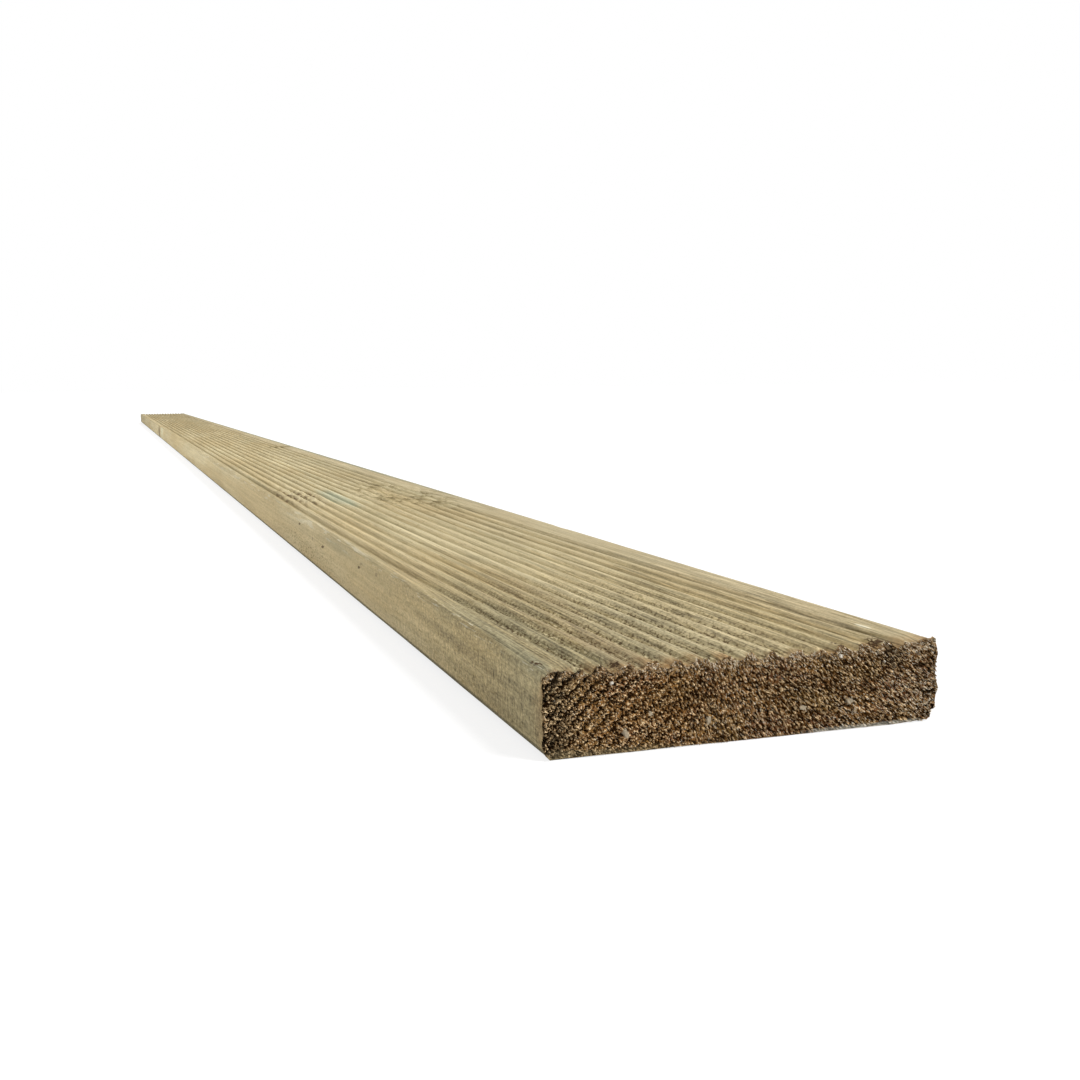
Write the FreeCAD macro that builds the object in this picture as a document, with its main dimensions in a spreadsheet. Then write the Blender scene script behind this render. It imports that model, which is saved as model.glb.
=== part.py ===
import FreeCAD, Part
import math
import os

import Sketcher

# A length of softwood decking: a planed board with rounded arrises and a row of rounded grooves
# along its top face, cut square at both ends.
# The row frame, in millimetres: X across the board, Y along it, Z up.
# The origin is in the middle of the underside.

NODE = "decking_board"

# Driving dimensions: the name of each size, its value and what it measures
SIZES = (
    ("board_length", 4200.0, "end to end"),
    ("board_width", 140.0, "across the face"),
    ("board_thickness", 28.0, "underside to the crests of the ridges"),
    ("top_arris_radius", 3.0, "rounding of the two upper long edges"),
    ("bottom_arris_radius", 4.0, "rounding of the two lower long edges"),
    ("plain_margin", 10.0, "least flat width kept beside the outer grooves"),
    ("groove_pitch", 8.5, "one groove's middle to the next"),
    ("groove_depth", 2.2, "crest to the floor of a groove"),
    ("crest_land", 0.8, "flat left along the crest of each ridge"),
    ("crest_radius", 2.0, "rounding of the ridge on each side of its crest"),
)

# What follows from the driving dimensions. A groove's mouth is what the crests leave, as many
# grooves as fit stand between the margins, and the round crest and the round floor of a groove
# share a tangent, so that their radii add up to a value that its width and depth set.
GROOVE_WIDTH = "(sizes.groove_pitch - sizes.crest_land)"
GROOVED_WIDTH = f"(sizes.board_width - 2 * sizes.plain_margin - {GROOVE_WIDTH})"
GROOVE_COUNT = f"(floor({GROOVED_WIDTH} / sizes.groove_pitch) + 1)"
FIRST_GROOVE = f"(sizes.groove_pitch * ({GROOVE_COUNT} - 1) / 2)"
BOTH_RADII = f"(({GROOVE_WIDTH} ^ 2 / 4 + sizes.groove_depth ^ 2) / (2 * sizes.groove_depth))"
FLOOR_RADIUS = f"({BOTH_RADII} - sizes.crest_radius)"

# Which point of a sketch element a constraint means
START = 1
END = 2
CENTRE = 3

# The sketch's own axes, as constraints name them
ACROSS = -1
UPRIGHT = -2

QUARTER = math.pi / 2


def make_sheet(doc):
    """Put the driving dimensions into a spreadsheet, one row each."""
    sheet = doc.addObject("Spreadsheet::Sheet", "sizes")
    for row, (name, value, meaning) in enumerate(SIZES, start=1):
        sheet.set(f"A{row}", name)
        sheet.set(f"B{row}", str(value))
        sheet.setAlias(f"B{row}", name)
        sheet.set(f"C{row}", meaning)
    doc.recompute()
    return sheet


def section_sketch(body, name):
    """A sketch on the body's cross-section plane: sketch x is X and sketch y is Z."""
    sketch = body.newObject("Sketcher::SketchObject", name)
    plane = next(p for p in body.Origin.OriginFeatures if p.Role == "XZ_Plane")
    sketch.AttachmentSupport = (plane, [""])
    sketch.MapMode = "FlatFace"
    return sketch


def add_line(sketch, start, end):
    """Add a straight edge and return its number in the sketch."""
    segment = Part.LineSegment(FreeCAD.Vector(*start, 0), FreeCAD.Vector(*end, 0))
    return sketch.addGeometry(segment, False)


def add_arc(sketch, centre, radius, start, end):
    """Add an arc that runs anticlockwise from start to end, and return its number in the sketch."""
    circle = Part.Circle(FreeCAD.Vector(*centre, 0), FreeCAD.Vector(0, 0, 1), radius)
    return sketch.addGeometry(Part.ArcOfCircle(circle, start, end), False)


def bind(sketch, name, expression, *constraint):
    """Add a dimension to the sketch and tie its value to the spreadsheet."""
    value = sketch.evalExpression(expression)
    number = sketch.addConstraint(Sketcher.Constraint(*constraint, value))
    sketch.renameConstraint(number, name)
    sketch.setExpression(f"Constraints.{name}", expression)


def draw_blank(sketch, sizes):
    """Draw the planed section before grooving: a rectangle with its four corners rounded."""
    half = sizes.board_width / 2
    top = sizes.board_thickness
    low = sizes.bottom_arris_radius
    high = sizes.top_arris_radius

    underside = add_line(sketch, (low - half, 0), (half - low, 0))
    low_right = add_arc(sketch, (half - low, low), low, -QUARTER, 0)
    right_side = add_line(sketch, (half, low), (half, top - high))
    high_right = add_arc(sketch, (half - high, top - high), high, 0, QUARTER)
    face = add_line(sketch, (half - high, top), (high - half, top))
    high_left = add_arc(sketch, (high - half, top - high), high, QUARTER, 2 * QUARTER)
    left_side = add_line(sketch, (-half, top - high), (-half, low))
    low_left = add_arc(sketch, (low - half, low), low, 2 * QUARTER, 3 * QUARTER)

    outline = [underside, low_right, right_side, high_right, face, high_left, left_side, low_left]
    for edge, following in zip(outline, outline[1:] + outline[:1]):
        sketch.addConstraint(Sketcher.Constraint("Tangent", edge, END, following, START))
    sketch.addConstraint(Sketcher.Constraint("Symmetric", underside, START, underside, END, UPRIGHT))
    sketch.addConstraint(Sketcher.Constraint("PointOnObject", underside, START, ACROSS))
    sketch.addConstraint(Sketcher.Constraint("Horizontal", face))
    sketch.addConstraint(Sketcher.Constraint("Vertical", left_side))
    sketch.addConstraint(Sketcher.Constraint("Vertical", right_side))
    sketch.addConstraint(Sketcher.Constraint("Equal", low_left, low_right))
    sketch.addConstraint(Sketcher.Constraint("Equal", high_left, high_right))

    bind(sketch, "width", "sizes.board_width", "DistanceX", left_side, START, right_side, START)
    bind(sketch, "thickness", "sizes.board_thickness", "DistanceY", underside, START, face, START)
    bind(sketch, "low_rounding", "sizes.bottom_arris_radius", "Radius", low_right)
    bind(sketch, "high_rounding", "sizes.top_arris_radius", "Radius", high_right)


def draw_groove(sketch, sizes):
    """Draw the first groove: a round floor that turns smoothly into a round crest on each side."""
    half = sketch.evalExpression(GROOVE_WIDTH) / 2
    floor = sketch.evalExpression(FLOOR_RADIUS)
    middle = -sketch.evalExpression(FIRST_GROOVE)
    depth = sizes.groove_depth
    crest = sizes.crest_radius
    top = sizes.board_thickness
    lean = 2 * math.atan2(depth, half)

    left_crest = add_arc(sketch, (middle - half, top - crest), crest, QUARTER - lean, QUARTER)
    bed = add_arc(sketch, (middle, top - depth + floor), floor, 3 * QUARTER - lean, 3 * QUARTER + lean)
    right_crest = add_arc(sketch, (middle + half, top - crest), crest, QUARTER, QUARTER + lean)
    mouth = add_line(sketch, (middle + half, top), (middle - half, top))

    sketch.addConstraint(Sketcher.Constraint("Tangent", left_crest, START, bed, START))
    sketch.addConstraint(Sketcher.Constraint("Tangent", bed, END, right_crest, END))
    sketch.addConstraint(Sketcher.Constraint("Tangent", right_crest, START, mouth, START))
    sketch.addConstraint(Sketcher.Constraint("Tangent", mouth, END, left_crest, END))
    sketch.addConstraint(Sketcher.Constraint("Horizontal", mouth))
    sketch.addConstraint(Sketcher.Constraint("Equal", left_crest, right_crest))

    bind(sketch, "place", FIRST_GROOVE, "DistanceX", bed, CENTRE, UPRIGHT, START)
    bind(sketch, "height", "sizes.board_thickness", "DistanceY", ACROSS, START, mouth, START)
    bind(sketch, "width", GROOVE_WIDTH, "DistanceX", mouth, END, mouth, START)
    bind(sketch, "crest_rounding", "sizes.crest_radius", "Radius", right_crest)
    bind(sketch, "floor_rounding", FLOOR_RADIUS, "Radius", bed)


def make_board(doc, sizes):
    """Pad the planed section to length, cut one groove through it and repeat the groove across."""
    body = doc.addObject("PartDesign::Body", "board")
    body.Label = NODE

    section = section_sketch(body, "blank_section")
    draw_blank(section, sizes)
    blank = body.newObject("PartDesign::Pad", "blank")
    blank.Profile = section
    blank.SideType = "Symmetric"
    blank.setExpression("Length", "sizes.board_length")
    doc.recompute()

    profile = section_sketch(body, "groove_profile")
    draw_groove(profile, sizes)
    groove = body.newObject("PartDesign::Pocket", "groove")
    groove.Profile = profile
    groove.Type = "ThroughAll"
    groove.SideType = "Symmetric"
    doc.recompute()

    grooves = body.newObject("PartDesign::LinearPattern", "grooves")
    grooves.Originals = [groove]
    grooves.Direction = (profile, ["H_Axis"])
    grooves.Mode = "Spacing"
    grooves.setExpression("Offset", "sizes.groove_pitch")
    grooves.setExpression("Occurrences", GROOVE_COUNT)
    body.Tip = grooves
    doc.recompute()
    return body


def check(doc, body):
    """Stop if any object failed, the solid isn't sound, or a groove cut less than the first one."""
    for item in doc.Objects:
        faults = [state for state in item.State if state in ("Invalid", "Error")]
        if faults:
            raise RuntimeError(f"{item.Label}: {faults}")
    shape = body.Shape
    if shape.isNull() or not shape.isValid() or len(shape.Solids) != 1:
        raise RuntimeError(f"{body.Label}: not one sound solid")
    uncut = doc.blank.Shape.Volume
    first_cut = uncut - doc.groove.Shape.Volume
    all_cuts = uncut - shape.Volume
    if first_cut <= 0 or round(all_cuts / first_cut, 3) != doc.grooves.Occurrences:
        raise RuntimeError(f"{body.Label}: the first groove took {first_cut:.0f} mm3 of {all_cuts:.0f}")


def main():
    doc = FreeCAD.newDocument("decking")
    sizes = make_sheet(doc)
    body = make_board(doc, sizes)
    check(doc, body)
    os.makedirs("parts", exist_ok=True)
    body.Shape.exportStep(os.path.join("parts", f"{body.Label}.step"))
    box = body.Shape.BoundBox
    print(f"{body.Label}: {box.XLength:.2f} x {box.YLength:.2f} x {box.ZLength:.2f} mm,"
          f" {doc.grooves.Occurrences} grooves, {body.Shape.Volume / 1000:.1f} cm3")


main()
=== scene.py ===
"""The decking board's looks: a planed and grooved plank of pressure-treated softwood with sawn ends."""
import logging
import math
from dataclasses import dataclass
from enum import Enum
from functools import reduce
from typing import Mapping, Sequence, Union

import bpy
import numpy as np
from mathutils import Matrix, Vector
from mathutils.geometry import delaunay_2d_cdt
from mathutils.kdtree import KDTree


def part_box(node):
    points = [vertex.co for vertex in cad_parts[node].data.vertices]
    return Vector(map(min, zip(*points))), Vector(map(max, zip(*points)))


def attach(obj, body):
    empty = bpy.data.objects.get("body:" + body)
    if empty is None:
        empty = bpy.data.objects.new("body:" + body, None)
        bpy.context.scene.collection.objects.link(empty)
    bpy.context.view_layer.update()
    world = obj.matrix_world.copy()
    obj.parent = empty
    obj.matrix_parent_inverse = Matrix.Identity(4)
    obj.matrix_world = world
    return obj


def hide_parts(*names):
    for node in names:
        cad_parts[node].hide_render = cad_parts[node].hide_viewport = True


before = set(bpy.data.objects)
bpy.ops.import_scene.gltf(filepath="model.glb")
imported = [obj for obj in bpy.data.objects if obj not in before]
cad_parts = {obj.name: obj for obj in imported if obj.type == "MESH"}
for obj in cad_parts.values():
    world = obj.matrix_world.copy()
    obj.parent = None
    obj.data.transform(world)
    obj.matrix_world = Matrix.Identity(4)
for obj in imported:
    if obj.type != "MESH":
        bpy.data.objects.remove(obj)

LOG = logging.getLogger("decking")

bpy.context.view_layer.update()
NODE = "decking_board"
BODY = "root"
BAKE_MAP = "OFBake"
GROOVE = "groove"
LEE = "lee"
TONE = "tone"

# A noise swings about this value, and each seed moves it this far along X, Y and Z
NOISE_MIDDLE = 0.5
SEED_STEP = (17.3, 5.1, 11.7)

# A quarter of a turn, in degrees
QUARTER = 90

# A span goes from the value at which something starts to the one at which it is full
Colour = tuple[float, float, float]
Place = tuple[float, float, float]
Span = tuple[float, float]
Tint = tuple[float, float, float, float]


class End(Enum):
    """The two sawn ends, by the sign of Y that they face."""

    NEAR = -1
    FAR = 1


# The fibres of each end: how many to a square metre before crowding, and the seed of their scatter
FIBRE_DENSITY = {End.NEAR: 6.8e6, End.FAR: 1.0e6}
FIBRE_SEED = {End.NEAR: 5, End.FAR: 6}


class Link:
    """A socket of a node tree. Arithmetic on links and numbers adds Math nodes to the tree."""

    def __init__(self, bench: "Bench", socket: bpy.types.NodeSocket) -> None:
        """Wrap one output socket of a tree.

        Args:
            bench: The tree's builder, which makes the nodes that arithmetic needs.
            socket: The output socket.
        """
        self.bench = bench
        self.socket = socket

    def output(self, name: str) -> "Link":
        """Return another output of the same node, by its name."""
        return Link(self.bench, self.bench.find(self.socket.node.outputs, name))

    def math(self, operation: str, *operands: "Value") -> "Link":
        """Return the result of a Math node on the operands."""
        return self.bench.add("ShaderNodeMath", {"operation": operation}, dict(enumerate(operands)))

    def __add__(self, other: "Value") -> "Link":
        """Return self + other."""
        return self.math("ADD", self, other)

    __radd__ = __add__

    def __sub__(self, other: "Value") -> "Link":
        """Return self - other."""
        return self.math("SUBTRACT", self, other)

    def __rsub__(self, other: "Value") -> "Link":
        """Return other - self."""
        return self.math("SUBTRACT", other, self)

    def __mul__(self, other: "Value") -> "Link":
        """Return self * other."""
        return self.math("MULTIPLY", self, other)

    __rmul__ = __mul__

    def __truediv__(self, other: "Value") -> "Link":
        """Return self / other."""
        return self.math("DIVIDE", self, other)

    def __rtruediv__(self, other: "Value") -> "Link":
        """Return other / self."""
        return self.math("DIVIDE", other, self)

    def __neg__(self) -> "Link":
        """Return -self."""
        return self.math("MULTIPLY", self, -1.0)

    def __abs__(self) -> "Link":
        """Return the size of self without its sign."""
        return self.math("ABSOLUTE", self)

    def __lt__(self, other: "Value") -> "Link":
        """Return 1 where self is less than other, and 0 elsewhere."""
        return self.math("LESS_THAN", self, other)

    def fraction(self) -> "Link":
        """Return the part of self after the decimal point."""
        return self.math("FRACT", self)

    def root(self) -> "Link":
        """Return the square root of self, or 0 where self is negative."""
        return self.math("SQRT", self.most(0.0))

    def decay(self, reach: float) -> "Link":
        """Return a value that falls from 1 at 0 towards 0, to 37% at reach."""
        return self.math("EXPONENT", self * (-1.0 / reach))

    def most(self, other: "Value") -> "Link":
        """Return the greater of self and other."""
        return self.math("MAXIMUM", self, other)

    def least(self, other: "Value") -> "Link":
        """Return the lesser of self and other."""
        return self.math("MINIMUM", self, other)

    def rise(self, low: float, high: float) -> "Link":
        """Return a smooth step of self, from 0 at low to 1 at high."""
        return self.bench.add(
            "ShaderNodeMapRange",
            {"interpolation_type": "SMOOTHSTEP"},
            {"Value": self, "From Min": low, "From Max": high},
        )

    def step(self, window: Span) -> "Link":
        """Return a smooth step of self, from 0 at the window's start to 1 at its end, either way up."""
        start, end = window
        return self.rise(start, end) if start < end else 1.0 - self.rise(end, start)

    def share(self, low: float, high: float) -> "Link":
        """Return where self stands between low and high, from 0 to 1."""
        return self.bench.add(
            "ShaderNodeMapRange", None, {"Value": self, "From Min": low, "From Max": high}
        )

    def square(self, middle: float, reach: float) -> "Link":
        """Return the square of the distance from middle, in units of reach."""
        offset = (self - middle) * (1.0 / reach)
        return offset * offset


Value = Union[float, Link]
Setting = Union[str, int, float, bool, Sequence]
Socket = Union[float, int, str, bool, Sequence, Link, bpy.types.ID]


class Bench:
    """Builds one node tree."""

    def __init__(self, tree: bpy.types.NodeTree) -> None:
        """Start on a tree, without any nodes that it has.

        Args:
            tree: The tree to build.
        """
        self.tree = tree
        tree.nodes.clear()

    @staticmethod
    def find(sockets: Sequence, key: Union[str, int]) -> bpy.types.NodeSocket:
        """Return the socket in use with this name, identifier or number."""
        if isinstance(key, int):
            return sockets[key]
        return next(s for s in sockets if s.enabled and key in (s.name, s.identifier))

    def add(
        self,
        kind: str,
        settings: Mapping[str, Setting] | None = None,
        sockets: Mapping[Union[str, int], Socket] | None = None,
    ) -> Link:
        """Add a node, set it up and connect it.

        Args:
            kind: The node's type.
            settings: Its own settings by name, and "stops" for a ramp's places and colours.
            sockets: Values or links for its inputs, by their name, identifier or number.

        Returns:
            A link to the node's first output in use, or to its first input if it has none.
        """
        node = self.tree.nodes.new(kind)
        for name, setting in (settings or {}).items():
            if name == "stops":
                self.set_stops(node.color_ramp, setting)
            else:
                setattr(node, name, setting)
        for key, value in (sockets or {}).items():
            socket = self.find(node.inputs, key)
            if isinstance(value, Link):
                self.tree.links.new(value.socket, socket)
            else:
                socket.default_value = value
        return Link(self, next((s for s in node.outputs if s.enabled), None) or node.inputs[0])

    @staticmethod
    def set_stops(ramp: bpy.types.ColorRamp, stops: Sequence[tuple[float, Socket]]) -> None:
        """Give a ramp its stops, each a place and a colour or a grey level.

        Args:
            ramp: The ramp.
            stops: The places and colours, in order.
        """
        while len(ramp.elements) < len(stops):
            ramp.elements.new(1.0)
        for element, (place, tone) in zip(ramp.elements, stops):
            element.position = place
            element.color = (*tone, 1.0) if isinstance(tone, tuple) else (tone, tone, tone, 1.0)

    def ramp(self, value: Link, *stops: tuple[float, Socket]) -> Link:
        """Return a colour, or a grey level as a value, from a ramp over value."""
        return self.add("ShaderNodeValToRGB", {"stops": stops}, {"Fac": value})

    def mix(self, factor: Value, first: Socket, second: Socket, blend: str = "MIX") -> Link:
        """Return a colour between two colours.

        Args:
            factor: How much of the second colour shows.
            first: The first colour.
            second: The second colour.
            blend: The way that the second colour goes over the first.

        Returns:
            The mixed colour.
        """
        colours = [(*c, 1.0) if isinstance(c, tuple) else c for c in (first, second)]
        return self.add(
            "ShaderNodeMix",
            {"data_type": "RGBA", "blend_type": blend},
            {"Factor": factor, "A": colours[0], "B": colours[1]},
        )

    def layered(self, colour: Socket, *layers: tuple[Value, Socket]) -> Link:
        """Return a colour with tints laid over it in turn.

        Args:
            colour: The colour underneath.
            layers: How much of each tint shows, and the tint.

        Returns:
            The colour on top.
        """
        for share, tint in layers:
            colour = self.mix(share, colour, tint)
        return colour

    def axes(self, place: Link) -> tuple[Link, Link, Link]:
        """Return the X, Y and Z of coordinates."""
        split = self.add("ShaderNodeSeparateXYZ", None, {0: place})
        return split, split.output("Y"), split.output("Z")

    def vector(self, x: Value, y: Value, z: Value) -> Link:
        """Return a vector from its X, Y and Z."""
        return self.add("ShaderNodeCombineXYZ", None, {0: x, 1: y, 2: z})

    def scaled(self, vector: Link, size: Value) -> Link:
        """Return a vector times a number."""
        return self.add("ShaderNodeVectorMath", {"operation": "SCALE"}, {"Vector": vector, "Scale": size})

    def total(self, *vectors: Link) -> Link:
        """Return the sum of vectors."""
        add = {"operation": "ADD"}
        return reduce(lambda a, b: self.add("ShaderNodeVectorMath", add, {0: a, 1: b}), vectors)

    def surface(self, name: str) -> Link:
        """Return a value that the surface carries under a name, in a material's tree."""
        return self.add("ShaderNodeAttribute", {"attribute_name": name}).output("Fac")

    def stored(self, geometry: Link, name: str, value: Link) -> Link:
        """Return geometry whose points carry a value under a name."""
        return self.add(
            "GeometryNodeStoreNamedAttribute",
            {"data_type": "FLOAT", "domain": "POINT"},
            {"Geometry": geometry, "Name": name, "Value": value},
        )

    def moved(self, geometry: Link, offset: Link) -> Link:
        """Return geometry with its points moved."""
        return self.add("GeometryNodeSetPosition", None, {"Geometry": geometry, "Offset": offset})

    def lifted(self, geometry: Link, lowest: float) -> Link:
        """Return geometry with the points that lie below a height lifted to it."""
        _, _, z = self.axes(self.add("GeometryNodeInputPosition"))
        return self.moved(geometry, self.vector(0.0, 0.0, (lowest - z).most(0.0)))

    def dressed(self, geometry: Link, material: Link, chosen: Socket = True) -> Link:
        """Return geometry with a material on its faces, or on the chosen ones."""
        sockets = {"Geometry": geometry, "Selection": chosen, "Material": material}
        return self.add("GeometryNodeSetMaterial", None, sockets)

    def random(self, seed: Link, low: float = 0.0, high: float = 1.0) -> Link:
        """Return a random value for each point."""
        return self.add(
            "FunctionNodeRandomValue", {"data_type": "FLOAT"}, {"Min": low, "Max": high, "Seed": seed}
        )


class Recipe:
    """A Geometry Nodes tree with named inputs, run once on an object and left as its plain mesh."""

    kinds = {
        float: "NodeSocketFloat",
        int: "NodeSocketInt",
        tuple: "NodeSocketVector",
        bpy.types.Material: "NodeSocketMaterial",
    }

    def __init__(self, name: str, inputs: Mapping[str, Socket]) -> None:
        """Start a tree.

        Args:
            name: The tree's name.
            inputs: The value of each input by its name, besides the geometry.
        """
        self.tree = bpy.data.node_groups.new(name, "GeometryNodeTree")
        sockets = self.tree.interface
        sockets.new_socket("Geometry", in_out="OUTPUT", socket_type="NodeSocketGeometry")
        sockets.new_socket("Geometry", in_out="INPUT", socket_type="NodeSocketGeometry")
        self.values: dict[str, Socket] = {}
        for label, value in inputs.items():
            socket = sockets.new_socket(label, in_out="INPUT", socket_type=self.kinds[type(value)])
            self.values[socket.identifier] = value
        self.bench = Bench(self.tree)
        self.entry = self.bench.add("NodeGroupInput")

    def given(self, name: str) -> Link:
        """Return an input of the tree, by its name."""
        return self.entry.output(name)

    def attribute(self, name: str, kind: str = "FLOAT") -> Link:
        """Return a named attribute of the geometry."""
        return self.bench.add("GeometryNodeInputNamedAttribute", {"data_type": kind}, {"Name": name})

    def close(self, geometry: Link) -> None:
        """Give the tree its result."""
        self.bench.add("NodeGroupOutput", None, {"Geometry": geometry})

    def run(self, piece: bpy.types.Object) -> None:
        """Run the tree on an object, and keep the result as its mesh without the modifier.

        Args:
            piece: The object.
        """
        modifier = piece.modifiers.new(self.tree.name, "NODES")
        modifier.node_group = self.tree
        for identifier, value in self.values.items():
            modifier[identifier] = value
        graph = bpy.context.evaluated_depsgraph_get()
        result = bpy.data.meshes.new_from_object(piece.evaluated_get(graph), depsgraph=graph)
        former = piece.data
        piece.modifiers.clear()
        piece.data = result
        bpy.data.meshes.remove(former)
        result.name = piece.name


def read(items: Sequence, field: str, kind: type = float, width: int = 1) -> np.ndarray:
    """Return one field of a mesh's items.

    Args:
        items: The items, such as vertices or an attribute's values.
        field: The field's name.
        kind: The type of its numbers.
        width: How many numbers an item has.

    Returns:
        One number for each item, or one row where an item has several.
    """
    values = np.empty(len(items) * width, dtype=kind)
    items.foreach_get(field, values)
    return values.reshape(-1, width) if width > 1 else values


@dataclass(frozen=True)
class Mark:
    """A spot on a face where the wood differs, such as a stain, a hole or a chip."""

    across: float
    along: float
    reach_across: float
    reach_along: float
    slant: float = 0.0

    def presence(self, across: Link, along: Link) -> Link:
        """Return a bell over the spot, 1 at its middle, from places across and along the face.

        Args:
            across: The place across the face.
            along: The place along it.

        Returns:
            The bell, from 0 to 1.
        """
        aside = across - (along - self.along) * self.slant
        spread = aside.square(self.across, self.reach_across) + along.square(self.along, self.reach_along)
        return spread.decay(1.0)


@dataclass(frozen=True)
class Knot(Mark):
    """A branch in the wood, which lifts the growth rings round it."""

    lift: float = 0.010


@dataclass(frozen=True)
class Blemish:
    """Marks of one kind, with the part of their bells that shows and how strongly it does."""

    marks: tuple[Mark, ...]
    window: Span | None = None
    strength: float = 1.0

    def bell(self, across: Link, along: Link) -> Link:
        """Return the greatest presence of the marks."""
        return reduce(Link.most, [mark.presence(across, along) for mark in self.marks])

    def presence(self, across: Link, along: Link) -> Link:
        """Return the marks at their strength, 0 outside them."""
        bell = self.bell(across, along)
        return (bell.step(self.window) if self.window else bell) * self.strength


@dataclass(frozen=True)
class Zone:
    """A stretch of the board with soft borders, each a span that goes from outside it to inside it."""

    across: Span | None = None
    along: Span | None = None
    up: Span | None = None
    strength: float = 1.0

    def presence(self, x: Link, distance: Link, z: Link) -> Link:
        """Return the zone's strength inside it, and 0 outside.

        Args:
            x: The place across the board.
            distance: The distance from the near end.
            z: The height.

        Returns:
            The strength at the place.
        """
        borders = ((x, self.across), (distance, self.along), (z, self.up))
        steps = [value.step(border) for value, border in borders if border]
        return reduce(Link.__mul__, steps) * self.strength


@dataclass(frozen=True)
class Grain:
    """A noise pattern, and how strongly it shows: on top, and what the near end and the sides add."""

    size: Place
    seed: float
    detail: float = 2.0
    roughness: float = 0.5
    window: Span = (0.0, 1.0)
    strength: float = 1.0
    near: float = 0.0
    side: float = 0.0
    near_side: float = 0.0
    relief: float = 0.0

    def noise(self, bench: Bench, place: Link) -> Link:
        """Return the pattern, from 0 to 1 about its middle.

        Args:
            bench: The tree that is being built.
            place: Coordinates in metres.

        Returns:
            The noise.
        """
        scale = tuple(1.0 / size for size in self.size)
        shift = tuple(self.seed * step for step in SEED_STEP)
        scaled = bench.add(
            "ShaderNodeVectorMath", {"operation": "MULTIPLY_ADD"}, {0: place, 1: scale, 2: shift}
        )
        return bench.add(
            "ShaderNodeTexNoise",
            None,
            {"Vector": scaled, "Scale": 1.0, "Detail": self.detail, "Roughness": self.roughness},
        )

    def swing(self, bench: Bench, place: Link) -> Link:
        """Return the pattern about 0."""
        return self.noise(bench, place) - NOISE_MIDDLE

    def patches(self, bench: Bench, place: Link) -> Link:
        """Return the pattern as patches, from 0 at the window's start to 1 at its end."""
        return self.noise(bench, place).step(self.window)

    def tint(self, bench: Bench, place: Link) -> Link:
        """Return the patches at the pattern's strength."""
        return self.patches(bench, place) * self.strength

    def strength_at(self, near: Link, side: Link) -> Link:
        """Return how strongly the pattern shows, from the shares of the near end and the sides."""
        return self.strength + near * self.near + side * self.side + near * side * self.near_side


@dataclass(frozen=True)
class GrowthRings:
    """The tree's yearly rings: arcs about a heart that lies under the board and wanders along it."""

    heart_x: float = 0.005
    heart_z: float = -0.055
    spacing: float = 0.0036
    wander: float = 0.010
    drift: Grain = Grain((1.0, 1.3, 1.0), seed=3.0, detail=1.0)
    waver: Grain = Grain((0.040, 0.500, 0.040), seed=5.0)
    late_stops: tuple[Span, ...] = (
        (0.0, 0.3), (0.12, 0.0), (0.5, 0.15), (0.84, 1.0), (0.94, 0.9), (1.0, 0.3)
    )
    cluster: Knot = Knot(-0.051, -1.432, 0.019, 0.080, lift=0.009)
    swirl: Knot = Knot(0.031, -1.455, 0.032, 0.115, lift=0.016)
    streak: Knot = Knot(0.050, -0.562, 0.020, 0.020, lift=0.012)
    dash: Grain = Grain((0.0042, 0.020, 0.0042), seed=8.0, detail=1.0, window=(0.45, 0.55))
    dashed: Span = (0.12, 0.60)
    scale: Grain = Grain((0.0022, 0.040, 1.0), seed=15.0, window=(0.55, 0.62))
    scale_slant: float = 0.20
    scaly: Span = (0.08, 0.50)

    def radius(self, bench: Bench, place: Link) -> Link:
        """Return the distance from the heart, bent round the knots.

        Args:
            bench: The tree that is being built.
            place: Coordinates in metres.

        Returns:
            The distance in metres.
        """
        x, y, z = bench.axes(place)
        drift = self.drift.swing(bench, bench.vector(0.0, y, 0.0))
        across = x - self.heart_x - drift * self.wander
        up = z - self.heart_z - drift * self.wander
        radius = (across * across + up * up).root() + self.waver.swing(bench, place) * self.spacing
        for knot in (self.cluster, self.swirl, self.streak):
            radius = radius + knot.presence(x, y) * knot.lift
        return radius

    def late_wood(self, bench: Bench, place: Link) -> Link:
        """Return the dark late wood of each ring, from 0 to 1."""
        phase = (self.radius(bench, place) * (1.0 / self.spacing)).fraction()
        return bench.ramp(phase, *self.late_stops)

    def dashes(self, bench: Bench, place: Link) -> Link:
        """Return the short dark breaks in the grain of the knot cluster, from 0 to 1."""
        x, y, _ = bench.axes(place)
        return self.dash.patches(bench, place) * self.cluster.presence(x, y).step(self.dashed)

    def scales(self, bench: Bench, place: Link) -> Link:
        """Return the slanting chips in the grain of the swirl, from 0 to 1.

        Args:
            bench: The tree that is being built.
            place: Coordinates in metres.

        Returns:
            The chips.
        """
        x, y, _ = bench.axes(place)
        slanting = bench.vector(x + y * self.scale_slant, y, 0.0)
        return self.scale.patches(bench, slanting) * self.swirl.presence(x, y).step(self.scaly)


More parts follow.
